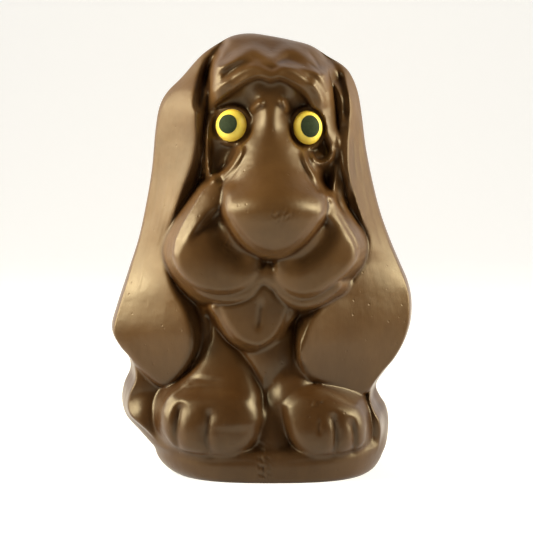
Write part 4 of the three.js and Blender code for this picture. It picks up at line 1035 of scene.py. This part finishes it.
def yellow_sugar():
    """Hard sugar icing: warmer towards the foot, with a faint grain."""
    f = Finish("yellow sugar")
    color = f.mix(f.spread(f.read("foot"), 0.15, 1.0), YELLOW, ORANGE)
    color = f.mix(f.spread(f.noise(500, 3, 0.6), 0.45, 0.8, 0.0, 0.25), color, (0.96, 0.80, 0.17, 1))
    f.set("Base Color", color)
    f.set("Roughness", f.spread(f.noise(800, 2), 0.3, 0.7, 0.42, 0.55))
    f.set("Subsurface Weight", 0.15)
    f.set("Subsurface Radius", (0.002, 0.0014, 0.0005))
    f.set("Subsurface Scale", 1.0)
    f.set("Normal", f.bump(f.noise(1400, 3), 0.00008, 0.5))
    return f.material


def green_sugar():
    """Matt dark icing with a fine grain."""
    f = Finish("green sugar")
    color = f.mix(f.spread(f.noise(700, 3), 0.4, 0.7), GREEN, (0.034, 0.050, 0.028, 1))
    f.set("Base Color", color)
    f.set("Roughness", 0.8)
    f.set("Specular IOR Level", 0.15)
    f.set("Normal", f.bump(f.noise(1800, 3), 0.00006, 0.5))
    return f.material


# ---------------- the pieces

dog_piece = mesh_object("dog_chocolate", fitted(skin), skin_faces)
dog_piece.data.set_sharp_from_angle(angle=math.radians(65))
# Painted shade mask: darkens the chocolate's colour in its creases and hollows.
attribute(dog_piece, "hollow_shade", hollow_shade)
# Painted shade: a share that darkens the chocolate towards the bottom, where less light falls.
attribute(dog_piece, "low", 0.7 * step((95 - skin[:, 2]) / 60))
attribute(dog_piece, "satin", satin(skin[:, 0], skin[:, 2]))
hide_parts("dog")
dog_piece.data.materials.append(chocolate())

yellow, green = yellow_sugar(), green_sugar()
for one_eye in EYES:
    eye_dome(one_eye).data.materials.append(yellow)
    eye_pupil(one_eye).data.materials.append(green)


# ---------------- floor, light and camera

WARM = (1.0, 0.87, 0.59)
LIGHT_AIM = (0, 0, 0.14)


def pale_floor():
    """Matt pale paint with a soft glow of its own, which fades out in front of the picture."""
    f = Finish("pale floor")
    f.set("Base Color", (0.52, 0.53, 0.56, 1))
    f.set("Roughness", 0.9)
    f.set("Specular IOR Level", 0.1)
    split = f.node("ShaderNodeSeparateXYZ")
    f.feed(split.inputs[0], f.place)
    share = f.spread(split.outputs["Y"], -0.7, -0.1, curve="SMOOTHSTEP")
    f.set("Emission Color", f.mix(share, (0.03, 0.025, 0.02, 1), (1.0, 0.995, 0.985, 1)))
    f.set("Emission Strength", 0.60)
    return f.material


def sweep():
    """A floor that curves up into a wall behind: straight, a quarter circle, straight."""
    turn = np.linspace(0, np.pi / 2, 24)
    radius, behind = 0.8, 1.2
    y = np.concatenate([[-3.0], behind + radius * np.sin(turn), [behind + radius]])
    z = np.concatenate([[0.0], radius * (1 - np.cos(turn)), [3.5]])
    x, y = np.meshgrid([-3.5, 3.5], y)
    points = np.stack([x, y, np.repeat(z[:, None], 2, 1)], axis=-1).reshape(-1, 3)
    k = np.arange(len(z) - 1) * 2
    faces = np.stack([k, k + 1, k + 3, k + 2], axis=1).tolist()
    piece = mesh_object("studio_floor", points, faces, body=None)
    piece.data.materials.append(pale_floor())


def softbox(name, place, size, power):
    """A rectangular warm area light that faces the dog's head."""
    light = bpy.data.lights.new(name, "AREA")
    light.shape = "RECTANGLE"
    light.size, light.size_y = size
    light.energy = power
    light.color = WARM
    lamp = bpy.data.objects.new(name, light)
    lamp.location = place
    lamp.rotation_euler = (Vector(LIGHT_AIM) - Vector(place)).to_track_quat("-Z", "Y").to_euler()
    bpy.context.scene.collection.objects.link(lamp)


def studio():
    """Two softboxes at each side, one of them higher and further forward; the left ones are
    stronger."""
    softbox("softbox_left", (-0.85, 0.10, 0.44), (0.8, 0.6), 17)
    softbox("softbox_right", (0.85, 0.06, 0.42), (0.6, 0.6), 12)
    softbox("front_left", (-0.95, -0.28, 0.72), (0.6, 0.4), 13)
    softbox("front_right", (0.95, -0.25, 0.70), (0.5, 0.4), 9.5)
    world = bpy.data.worlds.new("studio air")
    world.use_nodes = True
    background = world.node_tree.nodes["Background"]
    background.inputs["Color"].default_value = (1, 1, 1, 1)
    background.inputs["Strength"].default_value = 0.05
    bpy.context.scene.world = world
    bpy.context.scene.view_settings.view_transform = "Standard"


# The photograph's view: 533 pixels across, seen from the front and a little above.
PHOTO_SIZE = 533
FOCAL_PIXELS = 2164
SENSOR = 36.0
CAMERA_TARGET = (2.1, 0.0, 92.7)
CAMERA_DISTANCE = 1000.0
CAMERA_RISE = math.radians(4.5)


def camera():
    """A long lens that looks at the dog from the front, raised by CAMERA_RISE about the target."""
    data = bpy.data.cameras.new("camera")
    data.sensor_width = SENSOR
    data.lens = SENSOR * FOCAL_PIXELS / PHOTO_SIZE
    data.clip_start = 0.05
    made = bpy.data.objects.new("camera", data)
    target = np.array(CAMERA_TARGET)
    place = target + CAMERA_DISTANCE * np.array([0, -math.cos(CAMERA_RISE), math.sin(CAMERA_RISE)])
    made.location = in_frame(place)
    made.rotation_euler = (math.pi / 2 - CAMERA_RISE, 0, 0)
    bpy.context.scene.collection.objects.link(made)
    bpy.context.scene.camera = made


sweep()
studio()
camera()
